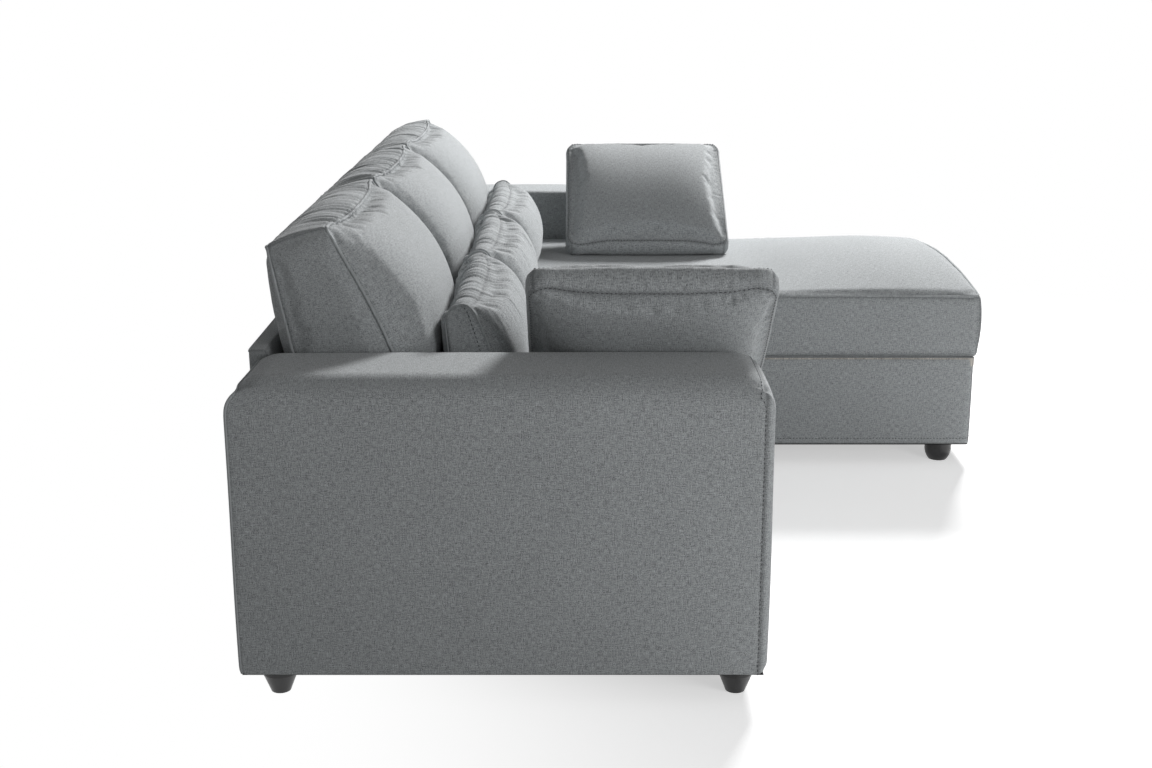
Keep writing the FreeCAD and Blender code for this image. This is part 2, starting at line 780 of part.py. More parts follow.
def make_lumbar_pillows():
    """Small D-shaped pillows side by side in front of the back cushions."""
    foot = seat_top + crown_height(lumbar_front) + rest_gap
    top_front = lumbar_front + lumbar_top_step
    corners = [
        (lumbar_front, foot),
        (top_front, foot + lumbar_height),
        (top_front + lumbar_top_thickness, foot + lumbar_height - lumbar_top_drop),
        (lumbar_front + lumbar_foot_thickness, foot),
    ]
    bulges = (lumbar_front_bulge, lumbar_top_bulge, lumbar_rear_bulge, 0)
    for index, name in enumerate(("left", "centre", "right")):
        left = -half_span + lumbar_start + lumbar_width * index
        ends = (left + soft_gap, left + lumbar_width - soft_gap)
        cushion(name + "_lumbar_pillow", True, ends, corners, bulges, (0, lumbar_draw_in, 0, 0))


def leaning_pillow(name, side, height, lean, crown, ends, foot):
    """Boxed square pillow that stands on its seat cushion and leans on the top of an arm.

    Its back face is an arc that just clears the rounded inner top edge of the arm.
    """
    angle = math.radians(lean)
    sine, cosine = math.sin(angle), math.cos(angle)
    half_chord = height / 2 - pillow_draw_in
    radius = (half_chord * half_chord + crown * crown) / (2 * crown)
    arc_z = foot + cosine * height / 2 + sine * (radius - crown)
    rise = arc_z - (arm_height - arm_inner_radius)
    reach = math.sqrt((radius + arm_inner_radius + rest_gap) ** 2 - rise * rise)
    foot_x = half_span + arm_inner_radius - reach - sine * height / 2 + cosine * (radius - crown)
    rear_foot = (foot_x, foot)
    rear_top = (foot_x + sine * height, foot + cosine * height)
    front_top = (rear_top[0] - cosine * pillow_gusset, rear_top[1] + sine * pillow_gusset)
    front_foot = (rear_foot[0] - cosine * pillow_gusset, rear_foot[1] + sine * pillow_gusset)
    corners = [(side * p, q) for p, q in (rear_foot, rear_top, front_top, front_foot)]
    bulges = (crown, pillow_bulge, crown, pillow_bulge)
    cushion(name, False, ends, corners, bulges, (0, pillow_draw_in, 0, pillow_draw_in))
    print(f"{name} foot x {side * foot_x:.1f}, top at x {side * rear_top[0]:.1f} z {rear_top[1]:.1f}")


def make_square_pillows():
    leaning_pillow(
        "left_square_pillow", -1, left_pillow_height, left_pillow_lean, left_pillow_crown,
        left_pillow_ends, seat_top + crown_height(left_pillow_ends[1]),
    )
    leaning_pillow(
        "right_square_pillow", 1, right_pillow_height, right_pillow_lean, right_pillow_crown,
        right_pillow_ends, seat_top + hip_crown * right_pillow_share + rest_gap,
    )


def main():
    os.makedirs(PARTS, exist_ok=True)
    left = make_arm("left", -1)
    right = make_arm("right", 1)
    save("arm_bolts", *left[0], *right[0])
    save("arm_bolt_washers", *left[1], *right[1])
    save("arm_inserts", *left[2], *right[2])
    make_seat_frame(left[3] + right[3])
    make_springs()
    make_deck()
    make_back()
    save("sofa_feet", *[sofa_foot(x, y) for x, y in sofa_foot_places])
    save("centre_feet", *[sofa_foot(x, y) for x, y in centre_foot_places])
    save("foot_bolts", *[foot_bolt(x, y) for x, y in sofa_foot_places + centre_foot_places])
    make_chaise_base()
    make_seat_cushions()
    make_back_cushions()
    make_lumbar_pillows()
    make_square_pillows()


main()
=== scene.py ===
"""Looks of the sectional sofa with a chaise: covers, cushions, welts, stitches, finishes and the stage.

Metres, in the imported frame's own axes: X runs along the sofa, the front faces -Y, Z is up.
"""
import json
import math

import bpy
import numpy as np
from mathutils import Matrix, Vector


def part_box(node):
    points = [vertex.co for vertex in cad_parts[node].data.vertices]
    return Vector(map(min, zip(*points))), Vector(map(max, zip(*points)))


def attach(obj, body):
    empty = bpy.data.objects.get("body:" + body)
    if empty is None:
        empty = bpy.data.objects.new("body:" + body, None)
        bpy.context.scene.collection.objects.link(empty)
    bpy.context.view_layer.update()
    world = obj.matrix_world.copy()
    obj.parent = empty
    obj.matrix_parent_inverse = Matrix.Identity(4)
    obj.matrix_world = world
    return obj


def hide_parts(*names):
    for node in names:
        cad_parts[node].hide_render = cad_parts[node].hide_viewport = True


bl_info = {
    "name": "Sectional sofa with chaise",
    "version": (1, 0, 0),
    "blender": (4, 5, 0),
    "location": "3D View > Sidebar > Sofa",
    "description": "Covers, cushions, welts, stitches and finishes around the packed sofa",
    "category": "Object",
}

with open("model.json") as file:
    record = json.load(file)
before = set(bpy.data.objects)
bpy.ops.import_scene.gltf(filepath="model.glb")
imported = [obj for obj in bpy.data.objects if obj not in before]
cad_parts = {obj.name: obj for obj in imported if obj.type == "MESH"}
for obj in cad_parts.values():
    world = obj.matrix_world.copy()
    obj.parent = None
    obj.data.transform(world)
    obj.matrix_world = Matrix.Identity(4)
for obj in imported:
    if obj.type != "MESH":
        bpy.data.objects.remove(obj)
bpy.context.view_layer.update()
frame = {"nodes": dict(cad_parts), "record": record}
ARM_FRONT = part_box("left_arm_cover")[0].y
BACK_LOW, BACK_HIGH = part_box("back_cover")
CHAISE_LOW, CHAISE_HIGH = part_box("chaise_cushion_cover")
BASE_LOW, BASE_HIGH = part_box("chaise_base_cover")
NAMES = ("left", "centre", "right")
GREY = (0.35, 0.36, 0.37, 1)  # colour that a node group shows until a material sets its own
EXACT = 1e-9  # two places this near on the cube are one
NEAR = 1e-5  # the same for places that were kept in a mesh


def length_of(title, default, note):
    """Length property in metres."""
    return bpy.props.FloatProperty(
        name=title, description=note, default=default, min=0.0,
        unit="LENGTH", subtype="DISTANCE", precision=4,
    )


def colour_of(title, default, note):
    """Colour property."""
    return bpy.props.FloatVectorProperty(
        name=title, default=default, size=3, min=0.0, max=1.0, subtype="COLOR", description=note
    )


def number_of(title, default, note):
    """Property that is a plain number."""
    return bpy.props.FloatProperty(name=title, default=default, description=note)


class SofaCloth(bpy.types.PropertyGroup):
    """Colours and sizes of the upholstery and of its sewing."""

    colour: colour_of("Cloth", (0.345, 0.362, 0.370), "Mean colour of the woven upholstery")
    thread_colour: colour_of("Stitches", (0.085, 0.090, 0.095), "Colour of the sewing thread")
    thread: length_of("Yarn", 0.0020, "Width of one yarn of the weave")
    welt: length_of("Welt radius", 0.0030, "Radius of the covered cord in the seams")
    stitch: length_of("Stitch", 0.0050, "Length of one stitch")
    stitch_pitch: length_of("Stitch pitch", 0.0085, "From one stitch to the next")
    stitch_radius: length_of("Stitch radius", 0.0009, "Radius of the sewing thread")


class SofaCushions(bpy.types.PropertyGroup):
    """Sizes of the loose cushions."""

    spacing: length_of("Mesh spacing", 0.0085, "Mesh size of the cushions before they are subdivided")
    wide_spacing: length_of("Wide mesh spacing", 0.0125, "The same on the chaise cushion")
    pressure: number_of("Pressure", 4.0, "Air pressure in the cloth simulation")
    travel: length_of("Travel", 0.022, "Furthest that the cloth may move")
    side_height: length_of("Seat side", 0.158, "Height of the seat cushions' boxed side")
    seat_crown: length_of("Seat crown", 0.012, "Height of the seat cushions' crown")
    seat_front_bulge: length_of("Seat front bulge", 0.014, "Bulge of the seat cushions' front")
    foot_crown: length_of("Chaise crown", 0.057, "Crown over the foot of the chaise")
    nose_crown: length_of("Chaise nose crown", 0.034, "Crown at the front of the chaise")
    nose_round: length_of("Chaise corner", 0.020, "Rounding of the chaise cushion's upright front corners")
    pillow_round: length_of("Pillow corner", 0.042, "Rounding of the square pillows' corners")
    lumbar_round: length_of("Lumbar rounding", 0.024, "Rounding along the top of the lumbar pillows")


class SofaStage(bpy.types.PropertyGroup):
    """Camera and lamps."""

    lens: number_of("Lens", 48.44, "Focal length in millimetres on a 36 mm sensor")
    camera_x: number_of("Camera X", -3.805, "Camera place along the sofa")
    camera_y: number_of("Camera Y", 0.230, "Camera place across the sofa")
    camera_z: number_of("Camera Z", 1.285, "Camera height")
    camera_pitch: number_of("Camera pitch", 15.13, "Degrees that the camera looks down")
    key_power: number_of("Key power", 545.0, "Watts of the large lamp above the far end")
    fill_power: number_of("Fill power", 44.0, "Watts of the lamp in front")
    sky: number_of("Sky", 0.21, "Strength of the even light from all sides")


def cloth():
    """The upholstery's settings."""
    return bpy.context.scene.sofa_cloth


def sizes():
    """The cushions' settings."""
    return bpy.context.scene.sofa_cushions


# Node helpers


def add_node(tree, kind, inputs=(), **settings):
    """Node with its settings and inputs; an input is a value or the output socket that feeds it."""
    node = tree.nodes.new(kind)
    for name, value in settings.items():
        setattr(node, name, value)
    for key, value in dict(inputs).items():
        socket = node.inputs[key]
        if isinstance(value, bpy.types.NodeSocket):
            tree.links.new(value, socket)
        else:
            socket.default_value = value
    return node


def maths(tree, operation, *values):
    """Result of one operation on numbers or sockets."""
    return add_node(tree, "ShaderNodeMath", enumerate(values), operation=operation).outputs[0]


def noise(tree, place, scale, detail, roughness=0.5, distortion=0.0):
    """Noise value at a place."""
    values = {
        "Vector": place, "Scale": scale, "Detail": detail,
        "Roughness": roughness, "Distortion": distortion,
    }
    return add_node(tree, "ShaderNodeTexNoise", values).outputs[0]


def ramp(tree, value, start, end, low=0.0, high=1.0, kind="LINEAR"):
    """Value that goes from low to high while another goes from start to end."""
    values = {0: value, 1: start, 2: end, 3: low, 4: high}
    return add_node(tree, "ShaderNodeMapRange", values, interpolation_type=kind).outputs[0]


def seen_directly(tree):
    """1 for what the camera sees, also in a mirror or through glass, and 0 for light that bounces."""
    seen = add_node(tree, "ShaderNodeLightPath").outputs
    direct = maths(tree, "MAXIMUM", seen["Is Camera Ray"], seen["Is Glossy Ray"])
    return maths(tree, "MAXIMUM", direct, seen["Is Transmission Ray"])


def group_tree(name, kind, inputs, outputs):
    """New node group with named sockets, and its input and output nodes."""
    tree = bpy.data.node_groups.new(name, kind)
    for title, socket, default in inputs:
        made = tree.interface.new_socket(title, in_out="INPUT", socket_type=socket)
        if default is not None:
            made.default_value = default
    for title, socket in outputs:
        tree.interface.new_socket(title, in_out="OUTPUT", socket_type=socket)
    return tree, tree.nodes.new("NodeGroupInput").outputs, tree.nodes.new("NodeGroupOutput").inputs


def scaled_colour(tree, colour, factor):
    """Colour made lighter or darker by a factor."""
    values = {0: colour, "Scale": factor}
    return add_node(tree, "ShaderNodeVectorMath", values, operation="SCALE").outputs[0]


def weave_group():
    """Plain weave of uneven yarns: colour, height and roughness from a place in metres."""
    tree, given, made = group_tree(
        "woven yarns", "ShaderNodeTree",
        [
            ("Place", "NodeSocketVector", None),
            ("Colour", "NodeSocketColor", GREY),
            ("Yarn", "NodeSocketFloat", 0.002),
            ("Contrast", "NodeSocketFloat", 0.5),
            ("Cloud", "NodeSocketFloat", 0.15),
        ],
        [("Colour", "NodeSocketColor"), ("Height", "NodeSocketFloat"), ("Roughness", "NodeSocketFloat")],
    )
    parts = add_node(tree, "ShaderNodeSeparateXYZ", {0: given["Place"]}).outputs
    across = maths(tree, "DIVIDE", parts[0], given["Yarn"])
    up = maths(tree, "DIVIDE", parts[1], given["Yarn"])

    def yarns(x_share, y_share, seed):
        """Uneven tone that changes by these shares for each yarn."""
        x = maths(tree, "MULTIPLY", across, x_share)
        y = maths(tree, "MULTIPLY", up, y_share)
        place = add_node(tree, "ShaderNodeCombineXYZ", {0: x, 1: y, 2: seed}).outputs[0]
        return noise(tree, place, 1.0, 1.5, 0.6)

    along = 0.17  # a spot is about six yarns long and one wide
    warp, weft = yarns(1.0, along, 3.0), yarns(along, 1.0, 9.0)
    over = maths(
        tree, "MULTIPLY",
        maths(tree, "SINE", maths(tree, "MULTIPLY", across, math.pi)),
        maths(tree, "SINE", maths(tree, "MULTIPLY", up, math.pi)),
    )
    on_top = ramp(tree, over, -0.5, 0.5)
    yarn = add_node(tree, "ShaderNodeMix", {0: on_top, 2: warp, 3: weft}, data_type="FLOAT").outputs[0]
    fuzz = yarns(0.9, 0.9, 21.0)
    grain = maths(tree, "ADD", maths(tree, "MULTIPLY", yarn, 0.75), maths(tree, "MULTIPLY", fuzz, 0.45))
    mean_grain = 0.6
    tone = maths(tree, "MULTIPLY", maths(tree, "SUBTRACT", grain, mean_grain), given["Contrast"])
    clouds = maths(tree, "ADD", yarns(0.035, 0.05, 33.0), yarns(0.14, 0.10, 41.0))
    cloud = maths(tree, "MULTIPLY", maths(tree, "SUBTRACT", clouds, 1.0), given["Cloud"])
    factor = maths(tree, "ADD", 1.0, maths(tree, "ADD", maths(tree, "MULTIPLY", tone, 4.0), cloud))
    darkest = 0.25
    factor = maths(tree, "MAXIMUM", factor, darkest)
    tree.links.new(scaled_colour(tree, given["Colour"], factor), made["Colour"])
    relief = maths(tree, "ADD", grain, maths(tree, "MULTIPLY", maths(tree, "ABSOLUTE", over), 0.5))
    tree.links.new(relief, made["Height"])
    tree.links.new(maths(tree, "SUBTRACT", 1.0, maths(tree, "MULTIPLY", grain, 0.15)), made["Roughness"])
    return tree


def wear_and_seam_shade_group():
    """Nap that is rubbed in patches, with shade painted darker into the seams by the crease attribute."""
    tree, given, made = group_tree(
        "nap and wear", "ShaderNodeTree",
        [
            ("Colour", "NodeSocketColor", GREY),
            ("Crease", "NodeSocketFloat", 0.0),
            ("Place", "NodeSocketVector", None),
            ("Rubbed", "NodeSocketFloat", 0.12),
        ],
        [("Colour", "NodeSocketColor")],
    )
    patch = noise(tree, given["Place"], 9.0, 3.0, 0.6)
    rubbed = maths(tree, "MULTIPLY", maths(tree, "SUBTRACT", patch, 0.5), given["Rubbed"])
    # painted shade: the cloth is made darker where the crease attribute marks a seam
    darker = maths(tree, "MULTIPLY", given["Crease"], -0.35)
    factor = maths(tree, "ADD", maths(tree, "ADD", 1.0, rubbed), darker)
    tree.links.new(scaled_colour(tree, given["Colour"], factor), made["Colour"])
    return tree


def new_material(name, roughness=0.5, metallic=0.0):
    """Material with its node tree and its shader."""
    made = bpy.data.materials.new(name)
    made.use_nodes = True
    shader = made.node_tree.nodes["Principled BSDF"]
    shader.inputs["Roughness"].default_value = roughness
    shader.inputs["Metallic"].default_value = metallic
    return made, made.node_tree, shader


def bump(tree, shader, height, strength, distance):
    """Relief of a height value on the shader's normal."""
    values = {"Height": height, "Strength": strength, "Distance": distance}
    relief = add_node(tree, "ShaderNodeBump", values)
    tree.links.new(relief.outputs[0], shader.inputs["Normal"])


def cloth_material(
    name, groups, by_map=True, colour=None, contrast=0.70, cloud=0.06, yarn=None, sheen=0.25
):
    """Upholstery cloth that reads the piece's own map of its panels, or its place in space."""
    made, tree, shader = new_material(name)
    place = add_node(tree, "ShaderNodeTexCoord").outputs["Object"]
    flat = place
    if by_map:
        flat = add_node(tree, "ShaderNodeUVMap", uv_map="panels").outputs[0]
    weave = add_node(tree, "ShaderNodeGroup", node_tree=groups["weave"])
    tree.links.new(flat, weave.inputs["Place"])
    weave.inputs["Colour"].default_value = (*(colour or cloth().colour), 1)
    weave.inputs["Yarn"].default_value = yarn or cloth().thread
    weave.inputs["Contrast"].default_value = contrast
    weave.inputs["Cloud"].default_value = cloud
    wear = add_node(tree, "ShaderNodeGroup", node_tree=groups["wear"])
    tree.links.new(weave.outputs["Colour"], wear.inputs["Colour"])
    # the crease attribute drives the shade painted into the seams; the group also rubs the nap in patches
    crease = add_node(tree, "ShaderNodeAttribute", attribute_name="crease").outputs["Fac"]
    tree.links.new(crease, wear.inputs["Crease"])
    tree.links.new(place, wear.inputs["Place"])
    tree.links.new(wear.outputs["Colour"], shader.inputs["Base Color"])
    tree.links.new(weave.outputs["Roughness"], shader.inputs["Roughness"])
    shader.inputs["Sheen Weight"].default_value = sheen
    shader.inputs["Sheen Roughness"].default_value = 0.45
    shader.inputs["Specular IOR Level"].default_value = 0.15
    bump(tree, shader, weave.outputs["Height"], strength=0.55, distance=0.0009)
    return made


def grain_group():
    """Streaky pattern along one axis, for wood and drawn metal."""
    tree, given, made = group_tree(
        "streaks", "ShaderNodeTree",
        [
            ("Place", "NodeSocketVector", None),
            ("Dark", "NodeSocketColor", (0.3, 0.2, 0.1, 1)),
            ("Light", "NodeSocketColor", (0.6, 0.45, 0.3, 1)),
            ("Scale", "NodeSocketFloat", 30.0),
        ],
        [("Colour", "NodeSocketColor"), ("Height", "NodeSocketFloat")],
    )
    streak = (0.12, 1.0, 1.0)  # the pattern is drawn out along X
    stretched = add_node(tree, "ShaderNodeMapping", {"Vector": given["Place"], "Scale": streak}).outputs[0]
    streaks = noise(tree, stretched, given["Scale"], 5.0, 0.6, 0.4)
    mix = add_node(tree, "ShaderNodeMix", data_type="RGBA")
    tree.links.new(streaks, mix.inputs["Factor"])
    tree.links.new(given["Dark"], mix.inputs[6])
    tree.links.new(given["Light"], mix.inputs[7])
    tree.links.new(mix.outputs[2], made["Colour"])
    tree.links.new(streaks, made["Height"])
    return tree


def streaked_material(name, groups, dark, light, scale, roughness, metallic, relief):
    """Wood, board or metal with fine streaks."""
    made, tree, shader = new_material(name, roughness, metallic)
    grain = add_node(tree, "ShaderNodeGroup", node_tree=groups["grain"])
    tree.links.new(add_node(tree, "ShaderNodeTexCoord").outputs["Object"], grain.inputs["Place"])
    grain.inputs["Dark"].default_value = (*dark, 1)
    grain.inputs["Light"].default_value = (*light, 1)
    grain.inputs["Scale"].default_value = scale
    tree.links.new(grain.outputs["Colour"], shader.inputs["Base Color"])
    bump(tree, shader, grain.outputs["Height"], strength=0.4, distance=relief)
    return made


def lacquer_material(name):
    """Black foot: half gloss with faint orange peel and scuffs."""
    made, tree, shader = new_material(name, 0.32)
    place = add_node(tree, "ShaderNodeTexCoord").outputs["Object"]
    peel = noise(tree, place, 260.0, 2.0)
    scuff = noise(tree, place, 45.0, 6.0)
    shade = add_node(tree, "ShaderNodeValToRGB", {0: scuff})
    shade.color_ramp.elements[0].color = (0.006, 0.006, 0.007, 1)
    shade.color_ramp.elements[0].position = 0.45
    shade.color_ramp.elements[1].color = (0.022, 0.022, 0.023, 1)
    shade.color_ramp.elements[1].position = 0.75
    tree.links.new(shade.outputs[0], shader.inputs["Base Color"])
    tree.links.new(ramp(tree, scuff, 0.3, 0.8, 0.26, 0.5), shader.inputs["Roughness"])
    bump(tree, shader, peel, strength=0.15, distance=0.0002)
    return made


MATERIALS = {}

# Name, colour, contrast of the yarns, width of a yarn, sheen
PLAIN_CLOTHS = {
    "dust": ("dust cloth", (0.02, 0.02, 0.021), 0.35, 0.0015, 0.05),
    "felt": ("felt", (0.42, 0.40, 0.37), 0.8, 0.004, 0.3),
    "webbing": ("webbing", (0.13, 0.12, 0.11), 0.5, 0.003, 0.1),
    "foam": ("foam", (0.82, 0.79, 0.68), 0.25, 0.0015, 0.0),
}

# Name, dark and light colour, scale of the streaks, roughness, metallic, relief
STREAKED = {
    "wood": ("timber", (0.42, 0.27, 0.14), (0.72, 0.54, 0.34), 26.0, 0.7, 0.0, 0.0004),
    "board": ("fibre board", (0.22, 0.14, 0.09), (0.36, 0.25, 0.17), 160.0, 0.8, 0.0, 0.0004),
    "spring": ("spring wire", (0.12, 0.12, 0.13), (0.30, 0.30, 0.31), 220.0, 0.35, 1.0, 0.0001),
    "zinc": ("zinc plate", (0.50, 0.50, 0.47), (0.72, 0.72, 0.70), 180.0, 0.38, 1.0, 0.0001),
}


def make_materials():
    """Every finish, once."""
    groups = {"weave": weave_group(), "wear": wear_and_seam_shade_group(), "grain": grain_group()}
    MATERIALS["cloth"] = cloth_material("upholstery cloth", groups)
    MATERIALS["welt"] = cloth_material("welt cloth", groups, by_map=False, contrast=0.35, cloud=0.2)
    thread = ("sewing thread", tuple(cloth().thread_colour), 0.3, 0.0006, 0.1)
    for key, (name, colour, contrast, yarn, sheen) in {"stitch": thread, **PLAIN_CLOTHS}.items():
        MATERIALS[key] = cloth_material(
            name, groups, by_map=False, colour=colour, contrast=contrast, yarn=yarn, sheen=sheen
        )
    for key, (name, *look) in STREAKED.items():
        MATERIALS[key] = streaked_material(name, groups, *look)
    MATERIALS["foot"] = lacquer_material("black lacquer")


# Soft forms

LOW, HIGH, FRONT, TOP, REAR, FOOT = range(6)
SIDES = {
    LOW: (0, 0.0), HIGH: (0, 1.0),
    FOOT: (1, 0.0), TOP: (1, 1.0),
    FRONT: (2, 0.0), REAR: (2, 1.0),
}


def cube_grid(steps):
    """Places on a cube's surface at the given steps of each axis, its quads and the side each lies on."""
    counts = [len(s) - 1 for s in steps]
    index, places, quads, sides = {}, [], [], []

    def corner(place):
        if place not in index:
            index[place] = len(places)
            places.append(place)
        return index[place]

    for side, (axis, value) in SIDES.items():
        a, b = [k for k in range(3) if k != axis]
        fixed = int(value) * counts[axis]
        turned = (value == 1.0) == (axis == 1)
        for i in range(counts[a]):
            for j in range(counts[b]):
                ring = []
                for di, dj in ((0, 0), (1, 0), (1, 1), (0, 1)):
                    place = [0, 0, 0]
                    place[axis], place[a], place[b] = fixed, i + di, j + dj
                    ring.append(corner(tuple(place)))
                quads.append(ring[::-1] if turned else ring)
                sides.append(side)
    cube = np.array([[steps[k][p[k]] for k in range(3)] for p in places])
    return cube, np.array(quads), np.array(sides)


def even(count):
    """Steps from 0 to 1 that are all the same."""
    return np.linspace(0.0, 1.0, max(int(round(count)), 1) + 1)


def closer_ends(length, fine, coarse, margin):
    """Steps from 0 to 1 that are fine within a margin of both ends and coarse between."""
    ends = np.arange(0.0, margin, fine)
    middle = np.linspace(margin, length - margin, max(int((length - 2 * margin) / coarse), 1) + 1)
    return np.concatenate([ends, middle, (length - ends)[::-1]]) / length


def arch(a, b, bulge, share):
    """Point at a share of the arc from a to b, which rises by bulge to the left of that direction."""
    chord = b - a
    length = np.linalg.norm(chord, axis=1)
    direction = chord / length[:, None]
    side = np.stack([-direction[:, 1], direction[:, 0]], 1)
    half = 2 * np.arctan(2 * np.abs(bulge) / length) + 1e-6
    radius = length / 2 / np.sin(half)
    angle = (2 * share - 1) * half
    along = radius * np.sin(angle)
    rise = radius * (np.cos(angle) - np.cos(half)) * np.sign(bulge)
    return (a + b) / 2 + direction * along[:, None] + side * rise[:, None]


def moved_in(corners, amounts):
    """Corners of a polygon whose sides move inwards by their own amounts."""
    corners = np.array(corners)
    ahead = np.roll(corners, -1, 0)
    run = ahead - corners
    normal = np.stack([run[:, 1], -run[:, 0]], 1) / np.linalg.norm(run, axis=1)[:, None]
    inward = np.sign(((corners.mean(0) - corners) * normal).sum(1))[:, None]
    normal = normal * inward
    offset = (normal * corners).sum(1) + np.array(amounts)
    before, offset_before = np.roll(normal, 1, 0), np.roll(offset, 1)
    cross = before[:, 0] * normal[:, 1] - before[:, 1] * normal[:, 0]
    return np.stack([
        (offset_before * normal[:, 1] - offset * before[:, 1]) / cross,
        (offset * before[:, 0] - offset_before * normal[:, 0]) / cross,
    ], 1)


END_SHARE = 0.12  # share of the bulge that is left at a cushion's two ends
FULLNESS = 4  # the higher it is, the further a cushion's swell reaches towards its ends
FOOT_CLEAR = 0.0006  # gap added below a cushion that lies on a flat seat


def section_places(cube, corners, bulges, draw_in):
    """Places in the plane of each section: four corners joined by arcs, filled in between.

    bulges are the four arcs' at the middle, or a function of the place along the block.
    """
    stations, which = np.unique(np.round(cube[:, 0], 4), return_inverse=True)
    tables = []
    for u in stations:
        swell = 1 - (2 * u - 1) ** FULLNESS
        left = END_SHARE + (1 - END_SHARE) * swell
        rise = bulges(u) if callable(bulges) else [b * left for b in bulges]
        tables.append((moved_in(corners, [d * swell for d in draw_in]), rise))
    at = np.array([t[0] for t in tables])[which]
    rise = np.array([t[1] for t in tables])[which]
    hand = np.sign(np.cross(at[:, 1] - at[:, 0], at[:, 2] - at[:, 1]))
    p, q = cube[:, 1], cube[:, 2]
    front = arch(at[:, 0], at[:, 1], -hand * rise[:, 0], p)
    top = arch(at[:, 1], at[:, 2], -hand * rise[:, 1], q)
    rear = arch(at[:, 3], at[:, 2], hand * rise[:, 2], p)
    foot = arch(at[:, 0], at[:, 3], hand * rise[:, 3], q)
    p, q = p[:, None], q[:, None]
    flat = (1 - q) * front + q * rear + (1 - p) * foot + p * top
    return flat - (
        (1 - p) * (1 - q) * at[:, 0] + p * (1 - q) * at[:, 1] + p * q * at[:, 2] + (1 - p) * q * at[:, 3]
    )


def normals_of(places, quads):
    """Outward normal at each vertex."""
    a, b, c, d = (places[quads[:, k]] for k in range(4))
    face = np.cross(c - a, d - b)
    total = np.zeros_like(places)
    for k in range(4):
        np.add.at(total, quads[:, k], face)
    return total / np.linalg.norm(total, axis=1)[:, None]


class Form:
    """Closed soft form: its places, quads, the side of each quad and each vertex's place on the cube."""

    def __init__(self, name, steps, place):
        self.name = name
        self.cube, self.quads, self.sides = cube_grid(steps)
        self.places = place(self.cube)
        a, b, c, d = (self.places[self.quads[:, k]] for k in range(4))
        volume = (a * np.cross(b, c) + a * np.cross(c, d)).sum()
        if volume < 0:
            self.quads = self.quads[:, ::-1]
        self.normals = normals_of(self.places, self.quads)


def squared_round(first, second, centre, towards):
    """Round one corner of a rectangle: squares about the corner's centre become circles."""
    a, b = (first - centre[0]) * towards[0], (second - centre[1]) * towards[1]
    inside = (a > 0) & (b > 0)
    biggest = np.maximum(a, b)
    length = np.hypot(a, b)
    scale = np.where(inside, biggest / np.maximum(length, 1e-12), 1.0)
    return centre[0] + a * scale * towards[0], centre[1] + b * scale * towards[1]


def round_edges(places, low, high, rounds):
    """Round edges of a box; rounds lists (axis a, axis b, towards a, towards b, radius in metres)."""
    for a, b, to_a, to_b, radius in rounds:
        centre = (
            (high[a] if to_a > 0 else low[a]) - to_a * radius,
            (high[b] if to_b > 0 else low[b]) - to_b * radius,
        )
        places[:, a], places[:, b] = squared_round(places[:, a], places[:, b], centre, (to_a, to_b))
    return places


def block_form(name, along, ends, corners, bulges, draw_in, counts, rounds=()):
    """Form lofted along X or Y between two ends."""
    spans = (abs(ends[1] - ends[0]), math.dist(corners[0], corners[1]), math.dist(corners[1], corners[2]))

    def place(cube):
        cube = round_edges(cube * np.array(spans), (0.0, 0.0, 0.0), spans, rounds) / np.array(spans)
        flat = section_places(cube, corners, bulges, draw_in)
        far = ends[0] + cube[:, 0] * (ends[1] - ends[0])
        if along == "X":
            return np.stack([far, flat[:, 0], flat[:, 1]], 1)
        return np.stack([flat[:, 0], far, flat[:, 1]], 1)

    return Form(name, [even(c) for c in counts], place)


def make_mesh(name, places, quads, cube=None, panels=None):
    """Mesh object from quads, with its place on the cube and its map of panels in metres."""
    mesh = bpy.data.meshes.new(name)
    mesh.from_pydata(places.tolist(), [], quads.tolist())
    mesh.polygons.foreach_set("use_smooth", np.ones(len(quads), bool))
    if cube is not None:
        kept = mesh.attributes.new("cube", "FLOAT_VECTOR", "POINT")
        kept.data.foreach_set("vector", cube.astype(np.float32).ravel())
    if panels is not None:
        layer = mesh.uv_layers.new(name="panels")
        layer.uv.foreach_set("vector", panels.astype(np.float32).ravel())
    mesh.update()
    made = bpy.data.objects.new(name, mesh)
    bpy.context.scene.collection.objects.link(made)
    return made


PANEL_SHIFTS = (0.37, 0.61)  # keep the weave of two panels from lining up


def panel_map(form):
    """Map in metres: each side of the form is laid flat along its two cube axes."""
    size = []
    for axis in range(3):
        a, b = [k for k in range(3) if k != axis]
        edge = (np.abs(form.cube[:, a]) < EXACT) & (np.abs(form.cube[:, b]) < EXACT)
        row = form.places[edge][np.argsort(form.cube[edge, axis])]
        size.append(np.linalg.norm(np.diff(row, axis=0), axis=1).sum())
    corner = form.cube[form.quads]
    found = np.zeros((len(form.quads), 4, 2))
    for side, (axis, value) in SIDES.items():
        rows = form.sides == side
        for flat, k in enumerate(k for k in range(3) if k != axis):
            found[rows, :, flat] = corner[rows][:, :, k] * size[k] + PANEL_SHIFTS[flat] * side
    return found


# Cloth simulation

SEAM_REACH = 0.02  # share of the cube's side over which the seams shrink


